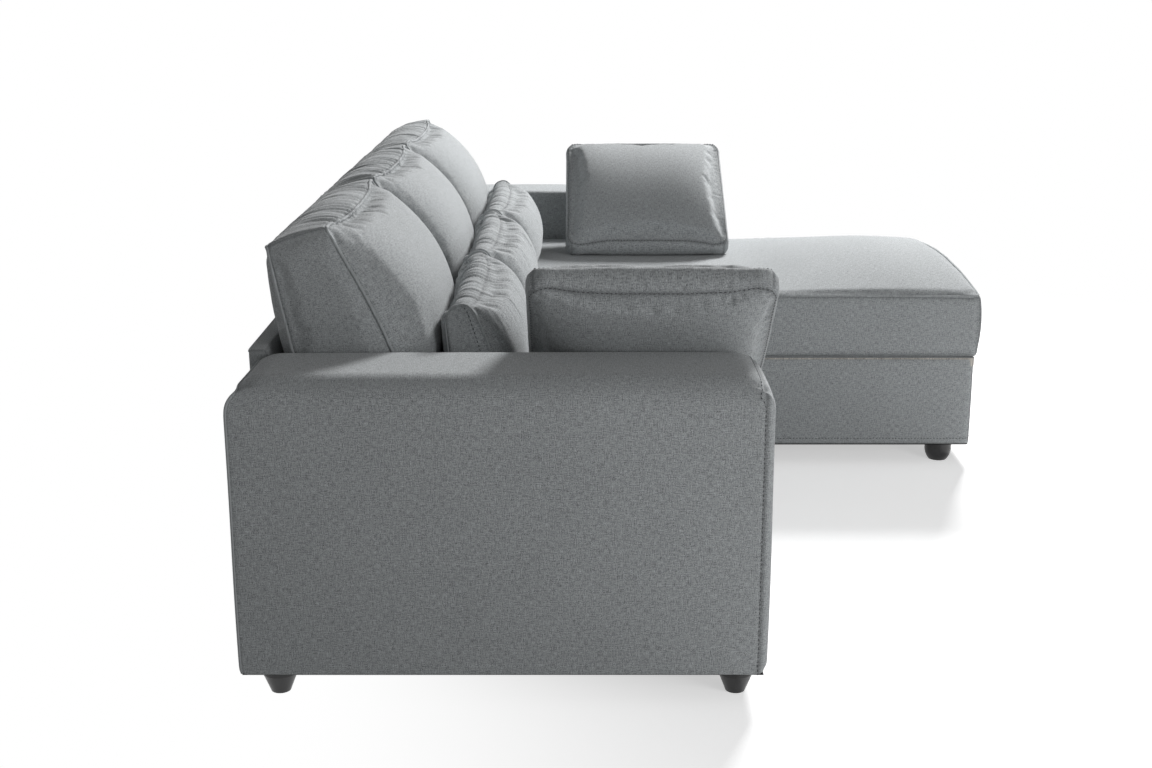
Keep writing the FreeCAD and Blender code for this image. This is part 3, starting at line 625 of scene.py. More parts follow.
def plump(forms, shrink, slack, start_inset, frames=20):
    """Blow the forms up as cloth, whose seams shrink and whose panels are a little slack."""
    scene = bpy.context.scene
    objects = []
    for form in forms:
        start = form.places - form.normals * start_inset
        made = make_mesh(form.name + "_sim", start, form.quads)
        seams = made.vertex_groups.new(name="seams")
        gaps = np.sort(np.minimum(form.cube, 1 - form.cube), 1)[:, 1]
        weights = near(gaps, SEAM_REACH)
        for index in np.nonzero(weights > 0)[0]:
            seams.add([int(index)], float(weights[index]), "REPLACE")
        modifier = made.modifiers.new("cloth", "CLOTH")
        settings = modifier.settings
        settings.quality = 5
        settings.mass = 0.3
        settings.tension_stiffness = 12.0
        settings.compression_stiffness = 12.0
        settings.shear_stiffness = 4.0
        settings.bending_stiffness = 0.3
        settings.use_pressure = True
        settings.uniform_pressure_force = sizes().pressure
        settings.effector_weights.gravity = 0.0
        settings.shrink_min = -slack
        settings.vertex_group_shrink = "seams"
        settings.shrink_max = shrink
        modifier.point_cache.frame_start = 1
        modifier.point_cache.frame_end = frames
        objects.append(made)
    for number in range(1, frames + 1):
        scene.frame_set(number)
    graph = bpy.context.evaluated_depsgraph_get()
    results = [read_points(made.evaluated_get(graph).data) for made in objects]
    for made in objects:
        mesh = made.data
        bpy.data.objects.remove(made)
        bpy.data.meshes.remove(mesh)
    scene.frame_set(1)
    return results


def hold(form, moved, outward, inward, travel):
    """Limit how far the cloth moved: outward and inward by side along the normal, and by travel in all."""
    change = moved - form.places
    along = (change * form.normals).sum(1)
    across = change - along[:, None] * form.normals
    most, least = np.full(len(along), np.inf), np.full(len(along), np.inf)
    for side, (axis, value) in SIDES.items():
        on = np.abs(form.cube[:, axis] - value) < EXACT
        most[on] = np.minimum(most[on], outward[side])
        least[on] = np.minimum(least[on], inward[side])
    along = np.clip(along, -least, most)
    reach = np.linalg.norm(across, axis=1)
    across = across * (travel * np.tanh(reach / travel) / np.maximum(reach, 1e-9))[:, None]
    return form.places + across + along[:, None] * form.normals


def finished(form, places):
    """Cloth-covered object of a form at given places, with its mesh subdivided once."""
    rough = make_mesh(form.name + "_rough", places, form.quads, form.cube, panel_map(form).reshape(-1, 2))
    divide = rough.modifiers.new("subdivide", "SUBSURF")
    divide.levels = 1
    divide.render_levels = 1
    graph = bpy.context.evaluated_depsgraph_get()
    mesh = bpy.data.meshes.new_from_object(rough.evaluated_get(graph))
    bpy.data.meshes.remove(rough.data)
    mesh.name = form.name
    made = bpy.data.objects.new(form.name, mesh)
    bpy.context.scene.collection.objects.link(made)
    mesh.materials.append(MATERIALS["cloth"])
    return made


def read_points(mesh, name=None):
    """Vertex places, or a vector attribute, as an array."""
    found = np.empty(len(mesh.vertices) * 3, np.float32)
    if name is None:
        mesh.vertices.foreach_get("co", found)
    else:
        mesh.attributes[name].data.foreach_get("vector", found)
    return found.reshape(-1, 3).astype(float)


def shown(made):
    """Places, normals and cube places of a piece's vertices."""
    mesh = made.data
    normals = np.empty(len(mesh.vertices) * 3, np.float32)
    mesh.vertices.foreach_get("normal", normals)
    return read_points(mesh), normals.reshape(-1, 3).astype(float), read_points(mesh, "cube")


def set_points(made, places):
    """Move a piece's vertices."""
    made.data.vertices.foreach_set("co", places.astype(np.float32).ravel())
    made.data.update()


def set_crease(made, values):
    """Keep how near each vertex lies to a seam, for the material, which paints shade into the seams from
    it.
    """
    kept = made.data.attributes.new("crease", "FLOAT", "POINT")
    kept.data.foreach_set("value", values.astype(np.float32))


def near(distance, reach):
    """1 at no distance, falling evenly to 0 at a reach."""
    return np.clip(1 - distance / reach, 0, 1)


def bell(distance, width):
    """1 on a line, falling like a bell on both sides of it."""
    return np.exp(-(distance / width) ** 2)


def fold_height(along, away, folds):
    """Depth of random folds that start at a seam: a crease with a soft ridge on each side."""
    total = np.zeros(len(along))
    for place, reach, width, depth, slant in folds:
        x = (along - place - slant * away) / width
        close = np.abs(x) < 4
        fade = near(away[close], reach) ** 1.5
        shape = bell(x[close] - 1.5, 1) + bell(x[close] + 1.5, 1) - 1.3 * bell(x[close], 1)
        total[close] += depth * shape * fade
    return total


def random_folds(seed, span, count, reach, width, depth, slant):
    """Folds spread unevenly along a seam; reach, width, depth and slant are a low and a high value."""
    rng = np.random.default_rng(seed)
    places = (np.arange(count) + rng.uniform(-0.45, 0.45, count) + 0.5) * span / count
    return np.stack([
        places,
        rng.uniform(*reach, count),
        rng.uniform(*width, count),
        rng.uniform(*depth, count) * rng.choice([1.0, 0.75, 0.35], count),
        rng.uniform(*slant, count),
    ], 1)


def nearest_step(values, wanted):
    """The step of the grid that lies nearest to a wanted place."""
    steps = np.unique(np.round(values, 6))
    return steps[np.argmin(np.abs(steps - wanted))]


def border(cube, axis, value):
    """Vertex numbers around the cube where an axis has about a value, in order."""
    a, b = [k for k in range(3) if k != axis]
    on_side = np.abs(cube[:, axis] - nearest_step(cube[:, axis], value)) < NEAR
    order = []
    for fixed, at, free, sign in ((b, 0.0, a, 1), (a, 1.0, b, 1), (b, 1.0, a, -1), (a, 0.0, b, -1)):
        row = np.nonzero(on_side & (np.abs(cube[:, fixed] - at) < NEAR))[0]
        row = row[np.argsort(sign * cube[row, free])]
        order.extend(row[:-1].tolist())
    return order


def row_at(cube, fixed, free):
    """Vertex numbers where the fixed axes have about their values, in order along the free axis."""
    on_row = np.ones(len(cube), bool)
    for axis, value in fixed.items():
        on_row &= np.abs(cube[:, axis] - nearest_step(cube[on_row, axis], value)) < NEAR
    rows = np.nonzero(on_row)[0]
    return rows[np.argsort(cube[rows, free])]


# Welts and stitches


def welt_tree():
    """Covered cord along the edges of a mesh of lines."""
    tree, given, made = group_tree(
        "welt", "GeometryNodeTree",
        [
            ("Geometry", "NodeSocketGeometry", None),
            ("Radius", "NodeSocketFloat", 0.003),
            ("Step", "NodeSocketFloat", 0.007),
            ("Material", "NodeSocketMaterial", None),
        ],
        [("Geometry", "NodeSocketGeometry")],
    )
    line = add_node(tree, "GeometryNodeMeshToCurve", {"Mesh": given["Geometry"]}).outputs[0]
    even_line = add_node(
        tree, "GeometryNodeResampleCurve", {"Curve": line, "Length": given["Step"]}, mode="LENGTH"
    ).outputs[0]
    ring = add_node(tree, "GeometryNodeCurvePrimitiveCircle", {"Resolution": 8, "Radius": given["Radius"]})
    tube = add_node(
        tree, "GeometryNodeCurveToMesh",
        {"Curve": even_line, "Profile Curve": ring.outputs[0], "Fill Caps": True},
    ).outputs[0]
    smooth = add_node(tree, "GeometryNodeSetShadeSmooth", {"Geometry": tube}).outputs[0]
    real = add_node(tree, "GeometryNodeRealizeInstances", {"Geometry": smooth}).outputs[0]
    covered = add_node(tree, "GeometryNodeSetMaterial", {"Geometry": real, "Material": given["Material"]})
    tree.links.new(covered.outputs[0], made["Geometry"])
    return tree


def stitch_tree():
    """Short stitches along the edges of a mesh of lines."""
    tree, given, made = group_tree(
        "stitches", "GeometryNodeTree",
        [
            ("Geometry", "NodeSocketGeometry", None),
            ("Radius", "NodeSocketFloat", 0.0009),
            ("Length", "NodeSocketFloat", 0.005),
            ("Pitch", "NodeSocketFloat", 0.0085),
            ("Material", "NodeSocketMaterial", None),
        ],
        [("Geometry", "NodeSocketGeometry")],
    )
    line = add_node(tree, "GeometryNodeMeshToCurve", {"Mesh": given["Geometry"]}).outputs[0]
    points = add_node(
        tree, "GeometryNodeCurveToPoints", {"Curve": line, "Length": given["Pitch"]}, mode="LENGTH"
    ).outputs
    ball = add_node(
        tree, "GeometryNodeMeshUVSphere", {"Segments": 6, "Rings": 4, "Radius": given["Radius"]}
    ).outputs[0]
    stretch = maths(tree, "DIVIDE", given["Length"], maths(tree, "MULTIPLY", given["Radius"], 2.0))
    size = add_node(tree, "ShaderNodeCombineXYZ", {0: 1.0, 1: 1.0, 2: stretch}).outputs[0]
    on_points = {
        "Points": points["Points"], "Instance": ball, "Rotation": points["Rotation"], "Scale": size,
    }
    placed = add_node(tree, "GeometryNodeInstanceOnPoints", on_points).outputs[0]
    real = add_node(tree, "GeometryNodeRealizeInstances", {"Geometry": placed}).outputs[0]
    smooth = add_node(tree, "GeometryNodeSetShadeSmooth", {"Geometry": real}).outputs[0]
    sewn = add_node(tree, "GeometryNodeSetMaterial", {"Geometry": smooth, "Material": given["Material"]})
    tree.links.new(sewn.outputs[0], made["Geometry"])
    return tree


TREES = {}


def along_lines(name, tree, lines, values):
    """Run a node tree on lines, each a list of places and whether it closes, and keep the plain mesh."""
    places, edges = [], []
    for line, closed in lines:
        first = len(places)
        places.extend(line)
        edges.extend((first + k, first + k + 1) for k in range(len(line) - 1))
        if closed:
            edges.append((len(places) - 1, first))
    mesh = bpy.data.meshes.new(name + "_lines")
    mesh.from_pydata([tuple(map(float, p)) for p in places], edges, [])
    lines_object = bpy.data.objects.new(name + "_lines", mesh)
    bpy.context.scene.collection.objects.link(lines_object)
    modifier = lines_object.modifiers.new(tree.name, "NODES")
    modifier.node_group = tree
    sockets = {s.name: s.identifier for s in tree.interface.items_tree if s.in_out == "INPUT"}
    for title, value in values.items():
        modifier[sockets[title]] = value
    graph = bpy.context.evaluated_depsgraph_get()
    plain = bpy.data.meshes.new_from_object(lines_object.evaluated_get(graph))
    bpy.data.meshes.remove(mesh)
    plain.name = name
    made = bpy.data.objects.new(name, plain)
    bpy.context.scene.collection.objects.link(made)
    return made


def add_welts(name, lines, body, radius=None):
    """Covered cords along lines, as one piece of a body."""
    values = {"Radius": radius or cloth().welt, "Material": MATERIALS["welt"]}
    made = along_lines(name, TREES["welt"], lines, values)
    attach(made, body)


def add_stitches(name, lines, body):
    """Stitches along lines, as one piece of a body."""
    values = {
        "Radius": cloth().stitch_radius, "Length": cloth().stitch,
        "Pitch": cloth().stitch_pitch, "Material": MATERIALS["stitch"],
    }
    made = along_lines(name, TREES["stitch"], lines, values)
    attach(made, body)


def closed_line(made, rows, rise=0.0):
    """Closed line through a piece's vertices, raised along the normal and smoothed once."""
    places, normals, _ = shown(made)
    line = places[rows] + normals[rows] * rise
    line = (np.roll(line, 1, 0) + 2 * line + np.roll(line, -1, 0)) / 4
    return line, True


def open_line(made, rows, rise):
    """Open line through a piece's vertices, raised along the normal."""
    places, normals, _ = shown(made)
    return places[rows] + normals[rows] * rise, False


# Cushions

FOLD_FADE = 0.012  # folds of one panel fade out within this much of the next
PLUMP_INSET = 0.004  # how far inside its form a cushion's cloth starts


def from_ends(cube, span):
    """Distance of each vertex from the nearer end of a cushion of a given length."""
    return np.minimum(cube[:, 0], 1 - cube[:, 0]) * span


def seam_distance(cube, spans):
    """Distance of each vertex from the nearest edge of the cube, in metres."""
    gaps = np.sort(np.stack([np.minimum(cube[:, k], 1 - cube[:, k]) * spans[k] for k in range(3)], 1), 1)
    return gaps[:, 1]


def upholster(made, body, nodes):
    """Make a covered piece a padded one of its body, in place of CAD nodes."""
    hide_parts(*nodes)
    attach(made, body)


def dress_cushion(made, name, spans, folds, groove=0.0025, flat_foot=True, node=None):
    """Sink the seams, press the folds in, and make the mesh the padded piece of its own body."""
    places, normals, cube = shown(made)
    gap = seam_distance(cube, spans)
    height = folds(cube) - groove * bell(gap, 0.006)
    if flat_foot:
        height = np.where(cube[:, 1] < NEAR, np.minimum(height, -FOOT_CLEAR), height)
    set_points(made, places + normals * height[:, None])
    set_crease(made, bell(gap, 0.005))
    node = node or name
    upholster(made, name, (node + "_cover", node + "_filling"))


# Back cushions

BACK_WELT_TOP = 0.830  # height of the front panel's upper welt
BACK_WELT_DROP = 0.036  # from that welt down to the rear panel's
BACK_WELT_INSET = 0.035  # from the back frame's rear side to the rear panel's welt
BACK_LEAN = math.radians(24.0)
BACK_TOP_THICKNESS = 0.112
BACK_FOOT_THICKNESS = 0.210
BACK_PANEL = 0.44  # height of the front panel along its slope
BACK_BORDER = 0.16  # mean thickness
BACK_BULGES = (0.092, 0.016, 0.037, 0.0)  # of the front, top, rear and foot
BACK_CORNER = 0.022
BACK_SWELL = {LOW: 0.0, HIGH: 0.0, FRONT: 0.012, TOP: 0.012, REAR: 0.002, FOOT: 0.0}
BACK_SINK = {LOW: 0.010, HIGH: 0.010, FRONT: 0.012, TOP: 0.003, REAR: 0.012, FOOT: 0.0005}
TOP_GATHERS = {
    "count": 26, "reach": (0.10, 0.30), "width": (0.006, 0.013), "depth": (0.0015, 0.0045),
    "slant": (-0.25, 0.25),
}
FACE_FOLDS = {
    "count": 24, "reach": (0.04, 0.13), "width": (0.006, 0.013), "depth": (0.0006, 0.0022),
    "slant": (-0.6, 0.6),
}


class SOFA_OT_back_cushions(bpy.types.Operator):
    """Three back cushions with a deep crown, gathered along their top panel"""

    bl_idname = "sofa.back_cushions"
    bl_label = "Back cushions"

    def execute(self, context):
        forms = [self.form(name + "_back_cushion", sizes().spacing) for name in NAMES]
        moved = plump(forms, shrink=0.02, slack=0.015, start_inset=PLUMP_INSET)
        for number, (form, places) in enumerate(zip(forms, moved)):
            held = hold(form, places, BACK_SWELL, BACK_SINK, sizes().travel)
            made = finished(form, held)
            spans = (np.ptp(form.places[:, 0]), BACK_PANEL, BACK_BORDER)
            gathers = random_folds(40 + number, spans[0], **TOP_GATHERS)
            pulls = random_folds(60 + number, spans[0], **FACE_FOLDS)

            def folds(cube, gathers=gathers, pulls=pulls, spans=spans):
                along = cube[:, 0] * spans[0]
                down = (1 - cube[:, 1]) * spans[1]
                on_top = near(down, FOLD_FADE)
                gathered = fold_height(along, cube[:, 2] * BACK_TOP_THICKNESS, gathers) * on_top
                in_front = near(cube[:, 2] * spans[2], FOLD_FADE)
                pulled = fold_height(along, down, pulls) * in_front
                return (gathered + pulled) * np.clip(from_ends(cube, spans[0]) / 0.02, 0, 1)

            dress_cushion(made, form.name, spans, folds)
            cube = shown(made)[2]
            lines = [closed_line(made, border(cube, 2, value), 0.002) for value in (0.0, 1.0)]
            add_welts(form.name + "_welts", lines, form.name)
        return {"FINISHED"}

    def form(self, name, spacing):
        """One cushion's form between the corners of its section."""
        low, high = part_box(name + "_cover")
        rear_welt = BACK_HIGH.y - BACK_WELT_INSET
        front_top = rear_welt - BACK_TOP_THICKNESS
        front_foot = front_top - (BACK_WELT_TOP - low.z) * math.tan(BACK_LEAN)
        corners = [
            (front_foot, low.z), (front_top, BACK_WELT_TOP),
            (rear_welt, BACK_WELT_TOP - BACK_WELT_DROP), (front_foot + BACK_FOOT_THICKNESS, low.z),
        ]
        counts = ((high.x - low.x) / spacing, BACK_PANEL / spacing, BACK_BORDER / spacing)
        rounds = [(0, 1, end, 1, BACK_CORNER) for end in (-1, 1)]
        draw_in = (0, 0.006, 0, 0)
        return block_form(name, "X", (low.x, high.x), corners, BACK_BULGES, draw_in, counts, rounds)


# Seat cushions and chaise cushion

SEAT_COARSER = 1.2  # their mesh spacing against the back cushions'
SEAT_CORNER = 0.012
SEAT_TRAVEL = 0.012
SEAT_SWELL = {LOW: 0.0, HIGH: 0.0, FRONT: 0.008, TOP: 0.008, REAR: 0.0, FOOT: 0.0}
SEAT_SINK = {LOW: 0.006, HIGH: 0.006, FRONT: 0.010, TOP: 0.006, REAR: 0.010, FOOT: 0.0005}
CHAISE_SIDE_BULGE = 0.005
CHAISE_END_BULGE = 0.008
CHAISE_SWELL = {LOW: 0.008, HIGH: 0.0, FRONT: 0.0, TOP: 0.008, REAR: 0.0, FOOT: 0.0}
CHAISE_SINK = {LOW: 0.010, HIGH: 0.006, FRONT: 0.006, TOP: 0.006, REAR: 0.006, FOOT: 0.0005}
RIPPLES = {
    "count": 14, "reach": (0.06, 0.20), "width": (0.010, 0.026), "depth": (0.0006, 0.0016),
    "slant": (-0.9, 0.9),
}


class SOFA_OT_seat_cushions(bpy.types.Operator):
    """Two boxed seat cushions and the long chaise cushion, with welts at their top and bottom edges"""

    bl_idname = "sofa.seat_cushions"
    bl_label = "Seat and chaise cushions"

    def execute(self, context):
        side = sizes().side_height
        forms = [self.seat_form(name, side, sizes().spacing * SEAT_COARSER) for name in NAMES[:2]]
        forms.append(self.chaise_form(side, sizes().wide_spacing))
        moved = plump(forms, shrink=0.02, slack=0.0, start_inset=PLUMP_INSET, frames=16)
        for number, (form, places) in enumerate(zip(forms, moved)):
            long = form.name == "chaise_cushion"
            limits = (CHAISE_SWELL, CHAISE_SINK) if long else (SEAT_SWELL, SEAT_SINK)
            made = finished(form, hold(form, places, *limits, SEAT_TRAVEL))
            size = np.ptp(form.places, 0)
            spans = (size[1], side, size[0]) if long else (size[0], side, size[1])
            ripples = random_folds(80 + number, spans[0], **RIPPLES)

            def folds(cube, ripples=ripples, spans=spans, long=long):
                away = np.minimum(cube[:, 2], 1 - cube[:, 2]) * spans[2]
                on_top = near((1 - cube[:, 1]) * spans[1], FOLD_FADE)
                swollen = 0.0
                if long:
                    swollen = CHAISE_END_BULGE * np.sin(np.pi * cube[:, 1]) ** 0.7 * (cube[:, 0] < NEAR)
                return fold_height(cube[:, 0] * spans[0], away, ripples) * on_top + swollen

            node = form.name if long else form.name.replace("_cushion", "")
            dress_cushion(made, form.name, spans, folds, node=node)
            cube = shown(made)[2]
            upper = closed_line(made, border(cube, 1, 1.0), 0.0015)
            lower = closed_line(made, border(cube, 1, 0.0))
            lower[0][:, 2] = np.maximum(lower[0][:, 2], form.places[:, 2].min() + cloth().welt)
            add_welts(form.name + "_welts", [upper, lower], form.name)
        return {"FINISHED"}

    def seat_form(self, name, side, spacing):
        """Form of a boxed seat cushion that bulges over the front rail."""
        low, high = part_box(name + "_seat_cover")
        front = low.y + sizes().seat_front_bulge
        corners = [(front, low.z), (front, low.z + side), (high.y, low.z + side), (high.y, low.z)]
        bulges = (sizes().seat_front_bulge, sizes().seat_crown, 0.0, 0.0)
        counts = ((high.x - low.x) / spacing, side / spacing, (high.y - low.y) / spacing)
        rounds = [(0, 2, end, -1, SEAT_CORNER) for end in (-1, 1)]
        draw_in = (0.003, 0, 0, 0)
        return block_form(
            name + "_seat_cushion", "X", (low.x, high.x), corners, bulges, draw_in, counts, rounds
        )

    def chaise_form(self, side, spacing):
        """Form of the chaise cushion, whose crown is highest over its foot."""
        low, high = CHAISE_LOW, CHAISE_HIGH
        left, right = low.x + CHAISE_SIDE_BULGE, high.x - CHAISE_SIDE_BULGE
        corners = [(left, low.z), (left, low.z + side), (right, low.z + side), (right, low.z)]
        foot = sizes().foot_crown
        # Place from front to rear, and the crown's height there
        knots = np.array([
            (low.y, sizes().nose_crown), (low.y + 0.075, foot * 0.84), (low.y + 0.215, foot),
            (low.y + 0.415, foot * 0.75), (ARM_FRONT - 0.115, 0.016), (ARM_FRONT + 0.115, 0.0106),
            (0.29, 0.012), (0.59, 0.0055), (high.y, 0.001),
        ])

        def bulges(share):
            crown = smooth_through(knots, low.y + share * (high.y - low.y))
            return CHAISE_SIDE_BULGE, crown, CHAISE_SIDE_BULGE, 0.0

        counts = ((high.y - low.y) / spacing, side / spacing, (high.x - low.x) / spacing)
        rounds = [(0, 2, -1, end, sizes().nose_round) for end in (-1, 1)]
        draw_in = (0, 0, 0, 0)
        return block_form(
            "chaise_cushion", "Y", (low.y, high.y), corners, bulges, draw_in, counts, rounds
        )


def smooth_through(knots, x):
    """Height of a smooth curve through knots, flat at each highest and lowest knot."""
    xs, ys = knots[:, 0], knots[:, 1]
    slopes = np.diff(ys) / np.diff(xs)
    inner = np.where(slopes[1:] * slopes[:-1] > 0, 2 / (1 / slopes[1:] + 1 / slopes[:-1]), 0.0)
    turn = np.concatenate([[slopes[0]], inner, [slopes[-1]]])
    k = int(np.clip(np.searchsorted(xs, x) - 1, 0, len(xs) - 2))
    width = xs[k + 1] - xs[k]
    t = np.clip((x - xs[k]) / width, 0, 1)
    return float(
        (2 * t**3 - 3 * t**2 + 1) * ys[k] + (t**3 - 2 * t**2 + t) * width * turn[k]
        + (3 * t**2 - 2 * t**3) * ys[k + 1] + (t**3 - t**2) * width * turn[k + 1]
    )


# Lumbar pillows

LUMBAR_FINER = 0.9  # their mesh spacing against the back cushions'
LUMBAR_HEIGHT = 0.216
LUMBAR_DROP = 0.018  # of the rear upper edge below the front one
LUMBAR_FRONT = 0.362  # place of the front lower edge
LUMBAR_TOP_FRONT = 0.428
LUMBAR_TOP_THICKNESS = 0.054
LUMBAR_FOOT_THICKNESS = 0.093
LUMBAR_PANEL = 0.24
LUMBAR_BORDER = 0.085
LUMBAR_BULGES = (0.058, 0.010, 0.022, 0.0)
LUMBAR_TRAVEL = 0.016
LUMBAR_SEAM = 0.22  # share of the thickness at which each end's seam is stitched
LUMBAR_WELT = 0.7  # their welt's radius against the other cushions'
LUMBAR_SWELL = {LOW: 0.0, HIGH: 0.0, FRONT: 0.008, TOP: 0.008, REAR: 0.003, FOOT: 0.0}
LUMBAR_SINK = {LOW: 0.010, HIGH: 0.010, FRONT: 0.014, TOP: 0.014, REAR: 0.012, FOOT: 0.0005}
LUMBAR_GATHERS = {
    "count": 30, "reach": (0.12, 0.34), "width": (0.005, 0.011), "depth": (0.0014, 0.0042),
    "slant": (-0.15, 0.15),
}


class SOFA_OT_lumbar_pillows(bpy.types.Operator):
    """Three D-shaped lumbar pillows, gathered over their tops"""

    bl_idname = "sofa.lumbar_pillows"
    bl_label = "Lumbar pillows"

    def execute(self, context):
        forms = [self.form(name + "_lumbar_pillow", sizes().spacing * LUMBAR_FINER) for name in NAMES]
        moved = plump(forms, shrink=0.025, slack=0.02, start_inset=PLUMP_INSET)
        for number, (form, places) in enumerate(zip(forms, moved)):
            made = finished(form, hold(form, places, LUMBAR_SWELL, LUMBAR_SINK, LUMBAR_TRAVEL))
            spans = (np.ptp(form.places[:, 0]), LUMBAR_PANEL, LUMBAR_BORDER)
            gathers = random_folds(90 + number, spans[0], **LUMBAR_GATHERS)

            def folds(cube, gathers=gathers, spans=spans):
                down = (1 - cube[:, 1]) * spans[1]
                over = np.where(cube[:, 1] > 1 - NEAR, (1 - cube[:, 2]) * spans[2], 0.0)
                away = np.where(cube[:, 2] < NEAR, spans[2] + down, over)
                away = np.where(cube[:, 2] > 1 - NEAR, down * 2, away)
                ends = np.clip(from_ends(cube, spans[0]) / 0.015, 0, 1)
                return fold_height(cube[:, 0] * spans[0], away, gathers) * ends

            dress_cushion(made, form.name, spans, folds, groove=0.0015)
            cube = shown(made)[2]
            rims = [closed_line(made, border(cube, 0, end), 0.0005) for end in (0.0, 1.0)]
            add_welts(form.name + "_rims", rims, form.name, cloth().welt * LUMBAR_WELT)
            rows = [row_at(cube, {0: end, 2: LUMBAR_SEAM}, 1) for end in (0.0, 1.0)]
            seams = [open_line(made, row, 0.0004) for row in rows]
            add_stitches(form.name + "_stitches", seams, form.name)
        return {"FINISHED"}

    def form(self, name, spacing):
        """One pillow's form between the corners of its section."""
        low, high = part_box(name + "_cover")
        top = low.z + LUMBAR_HEIGHT
        corners = [
            (LUMBAR_FRONT, low.z), (LUMBAR_TOP_FRONT, top),
            (LUMBAR_TOP_FRONT + LUMBAR_TOP_THICKNESS, top - LUMBAR_DROP),
            (LUMBAR_FRONT + LUMBAR_FOOT_THICKNESS, low.z),
        ]
        counts = ((high.x - low.x) / spacing, LUMBAR_PANEL / spacing, LUMBAR_BORDER / spacing)
        rounds = [(1, 2, 1, side, sizes().lumbar_round) for side in (-1, 1)]
        draw_in = (0, 0.004, 0, 0)
        return block_form(name, "X", (low.x, high.x), corners, LUMBAR_BULGES, draw_in, counts, rounds)


# Square pillows

PILLOW_FINER = 0.85  # their mesh spacing against the back cushions'
PILLOW_GUSSET = 0.040
PILLOW_BORDER = 0.045
PILLOW_FULLNESS = 1.08  # length of a crowned panel against its straight height
PILLOW_FACE = 0.7  # bulge of the face against that of the side on the arm
PILLOW_EDGE_BULGE = 0.008
PILLOW_TRAVEL = 0.018
PILLOWS = (  # name, side of the sofa, height, lean, bulge of the side on the arm
    ("left", -1, 0.415, math.radians(48.0), 0.072),
    ("right", 1, 0.510, math.radians(60.0), 0.085),
)
PILLOW_SWELL = {LOW: 0.012, HIGH: 0.012, FRONT: 0.0, TOP: 0.008, REAR: 0.012, FOOT: 0.002}
PILLOW_SINK = {LOW: 0.004, HIGH: 0.004, FRONT: 0.008, TOP: 0.004, REAR: 0.008, FOOT: 0.008}
PUCKERS = {
    "count": 24, "reach": (0.02, 0.08), "width": (0.004, 0.009), "depth": (0.0004, 0.0016),
    "slant": (-0.6, 0.6),
}
SIDE_PUCKERS = {
    "count": 16, "reach": (0.02, 0.07), "width": (0.004, 0.009), "depth": (0.0004, 0.0014),
    "slant": (-0.6, 0.6),
}


class SOFA_OT_square_pillows(bpy.types.Operator):
    """Two boxed square pillows that lean on the arms, with stitched seams"""

    bl_idname = "sofa.square_pillows"
    bl_label = "Square pillows"

    def execute(self, context):
        forms = [self.form(*pillow, sizes().spacing * PILLOW_FINER) for pillow in PILLOWS]
        moved = plump(forms, shrink=0.01, slack=0.0, start_inset=0.003)
        for number, (form, places) in enumerate(zip(forms, moved)):
            made = finished(form, hold(form, places, PILLOW_SWELL, PILLOW_SINK, PILLOW_TRAVEL))
            height = PILLOWS[number][2]
            spans = (np.ptp(form.places[:, 1]), height * PILLOW_FULLNESS, PILLOW_BORDER)
            puckers = random_folds(120 + number, spans[0], **PUCKERS)
            side_puckers = random_folds(130 + number, spans[1], **SIDE_PUCKERS)

            def folds(cube, puckers=puckers, side_puckers=side_puckers, spans=spans):
                down = (1 - cube[:, 1]) * spans[1]
                first = fold_height(cube[:, 0] * spans[0], down, puckers)
                second = fold_height(cube[:, 1] * spans[1], from_ends(cube, spans[0]), side_puckers)
                on_gusset = np.where((cube[:, 2] > NEAR) & (cube[:, 2] < 1 - NEAR), 0.3, 1.0)
                return (first + second) * np.clip(seam_distance(cube, spans) / 0.01, 0.2, 1) * on_gusset

            dress_cushion(made, form.name, spans, folds, groove=0.002, flat_foot=False)
            cube = shown(made)[2]
            lines = [closed_line(made, border(cube, 2, value), 0.0004) for value in (0.0, 1.0)]
            add_stitches(form.name + "_stitches", lines, form.name)
        return {"FINISHED"}

    def form(self, name, side, height, lean, crown, spacing):
        """One pillow's form between the corners of its section."""
        low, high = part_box(name + "_square_pillow_cover")
        reach = high.x if side > 0 else -low.x
        corners = leaning_corners(side, pillow_foot(reach, height, lean, crown), low.z, height, lean)
        counts = ((high.y - low.y) / spacing, height * PILLOW_FULLNESS / spacing, PILLOW_BORDER / spacing)
        bulges = (crown, PILLOW_EDGE_BULGE, crown * PILLOW_FACE, PILLOW_EDGE_BULGE)
        rounds = [(0, 1, end, edge, sizes().pillow_round) for end in (-1, 1) for edge in (-1, 1)]
        draw_in = (0, 0.008, 0, 0.008)
        name = name + "_square_pillow"
        return block_form(name, "Y", (low.y, high.y), corners, bulges, draw_in, counts, rounds)


def leaning_corners(side, foot_x, foot, height, lean):
    """Section corners of a square pillow that leans on an arm."""
    sine, cosine = math.sin(lean), math.cos(lean)
    rear_foot = (foot_x, foot)
    rear_top = (foot_x + sine * height, foot + cosine * height)
    front_top = (rear_top[0] - cosine * PILLOW_GUSSET, rear_top[1] + sine * PILLOW_GUSSET)
    front_foot = (rear_foot[0] - cosine * PILLOW_GUSSET, rear_foot[1] + sine * PILLOW_GUSSET)
    return [(side * p, q) for p, q in (rear_foot, rear_top, front_top, front_foot)]


def pillow_foot(reach, height, lean, crown):
    """Place of a leaning pillow's rear foot from how far its outermost point reaches towards its arm."""
    half = 2 * math.atan(2 * crown / height)
    radius = height / 2 / math.sin(half)
    if math.pi / 2 - lean < half:
        middle = height / 2 * math.sin(lean) - (radius - crown) * math.cos(lean)
        return reach - middle - radius
    return reach - math.sin(lean) * height


# Frame covers

PUFF = 0.004  # how far a padded panel stands out in its middle
CREASE_WIDTH = 0.004


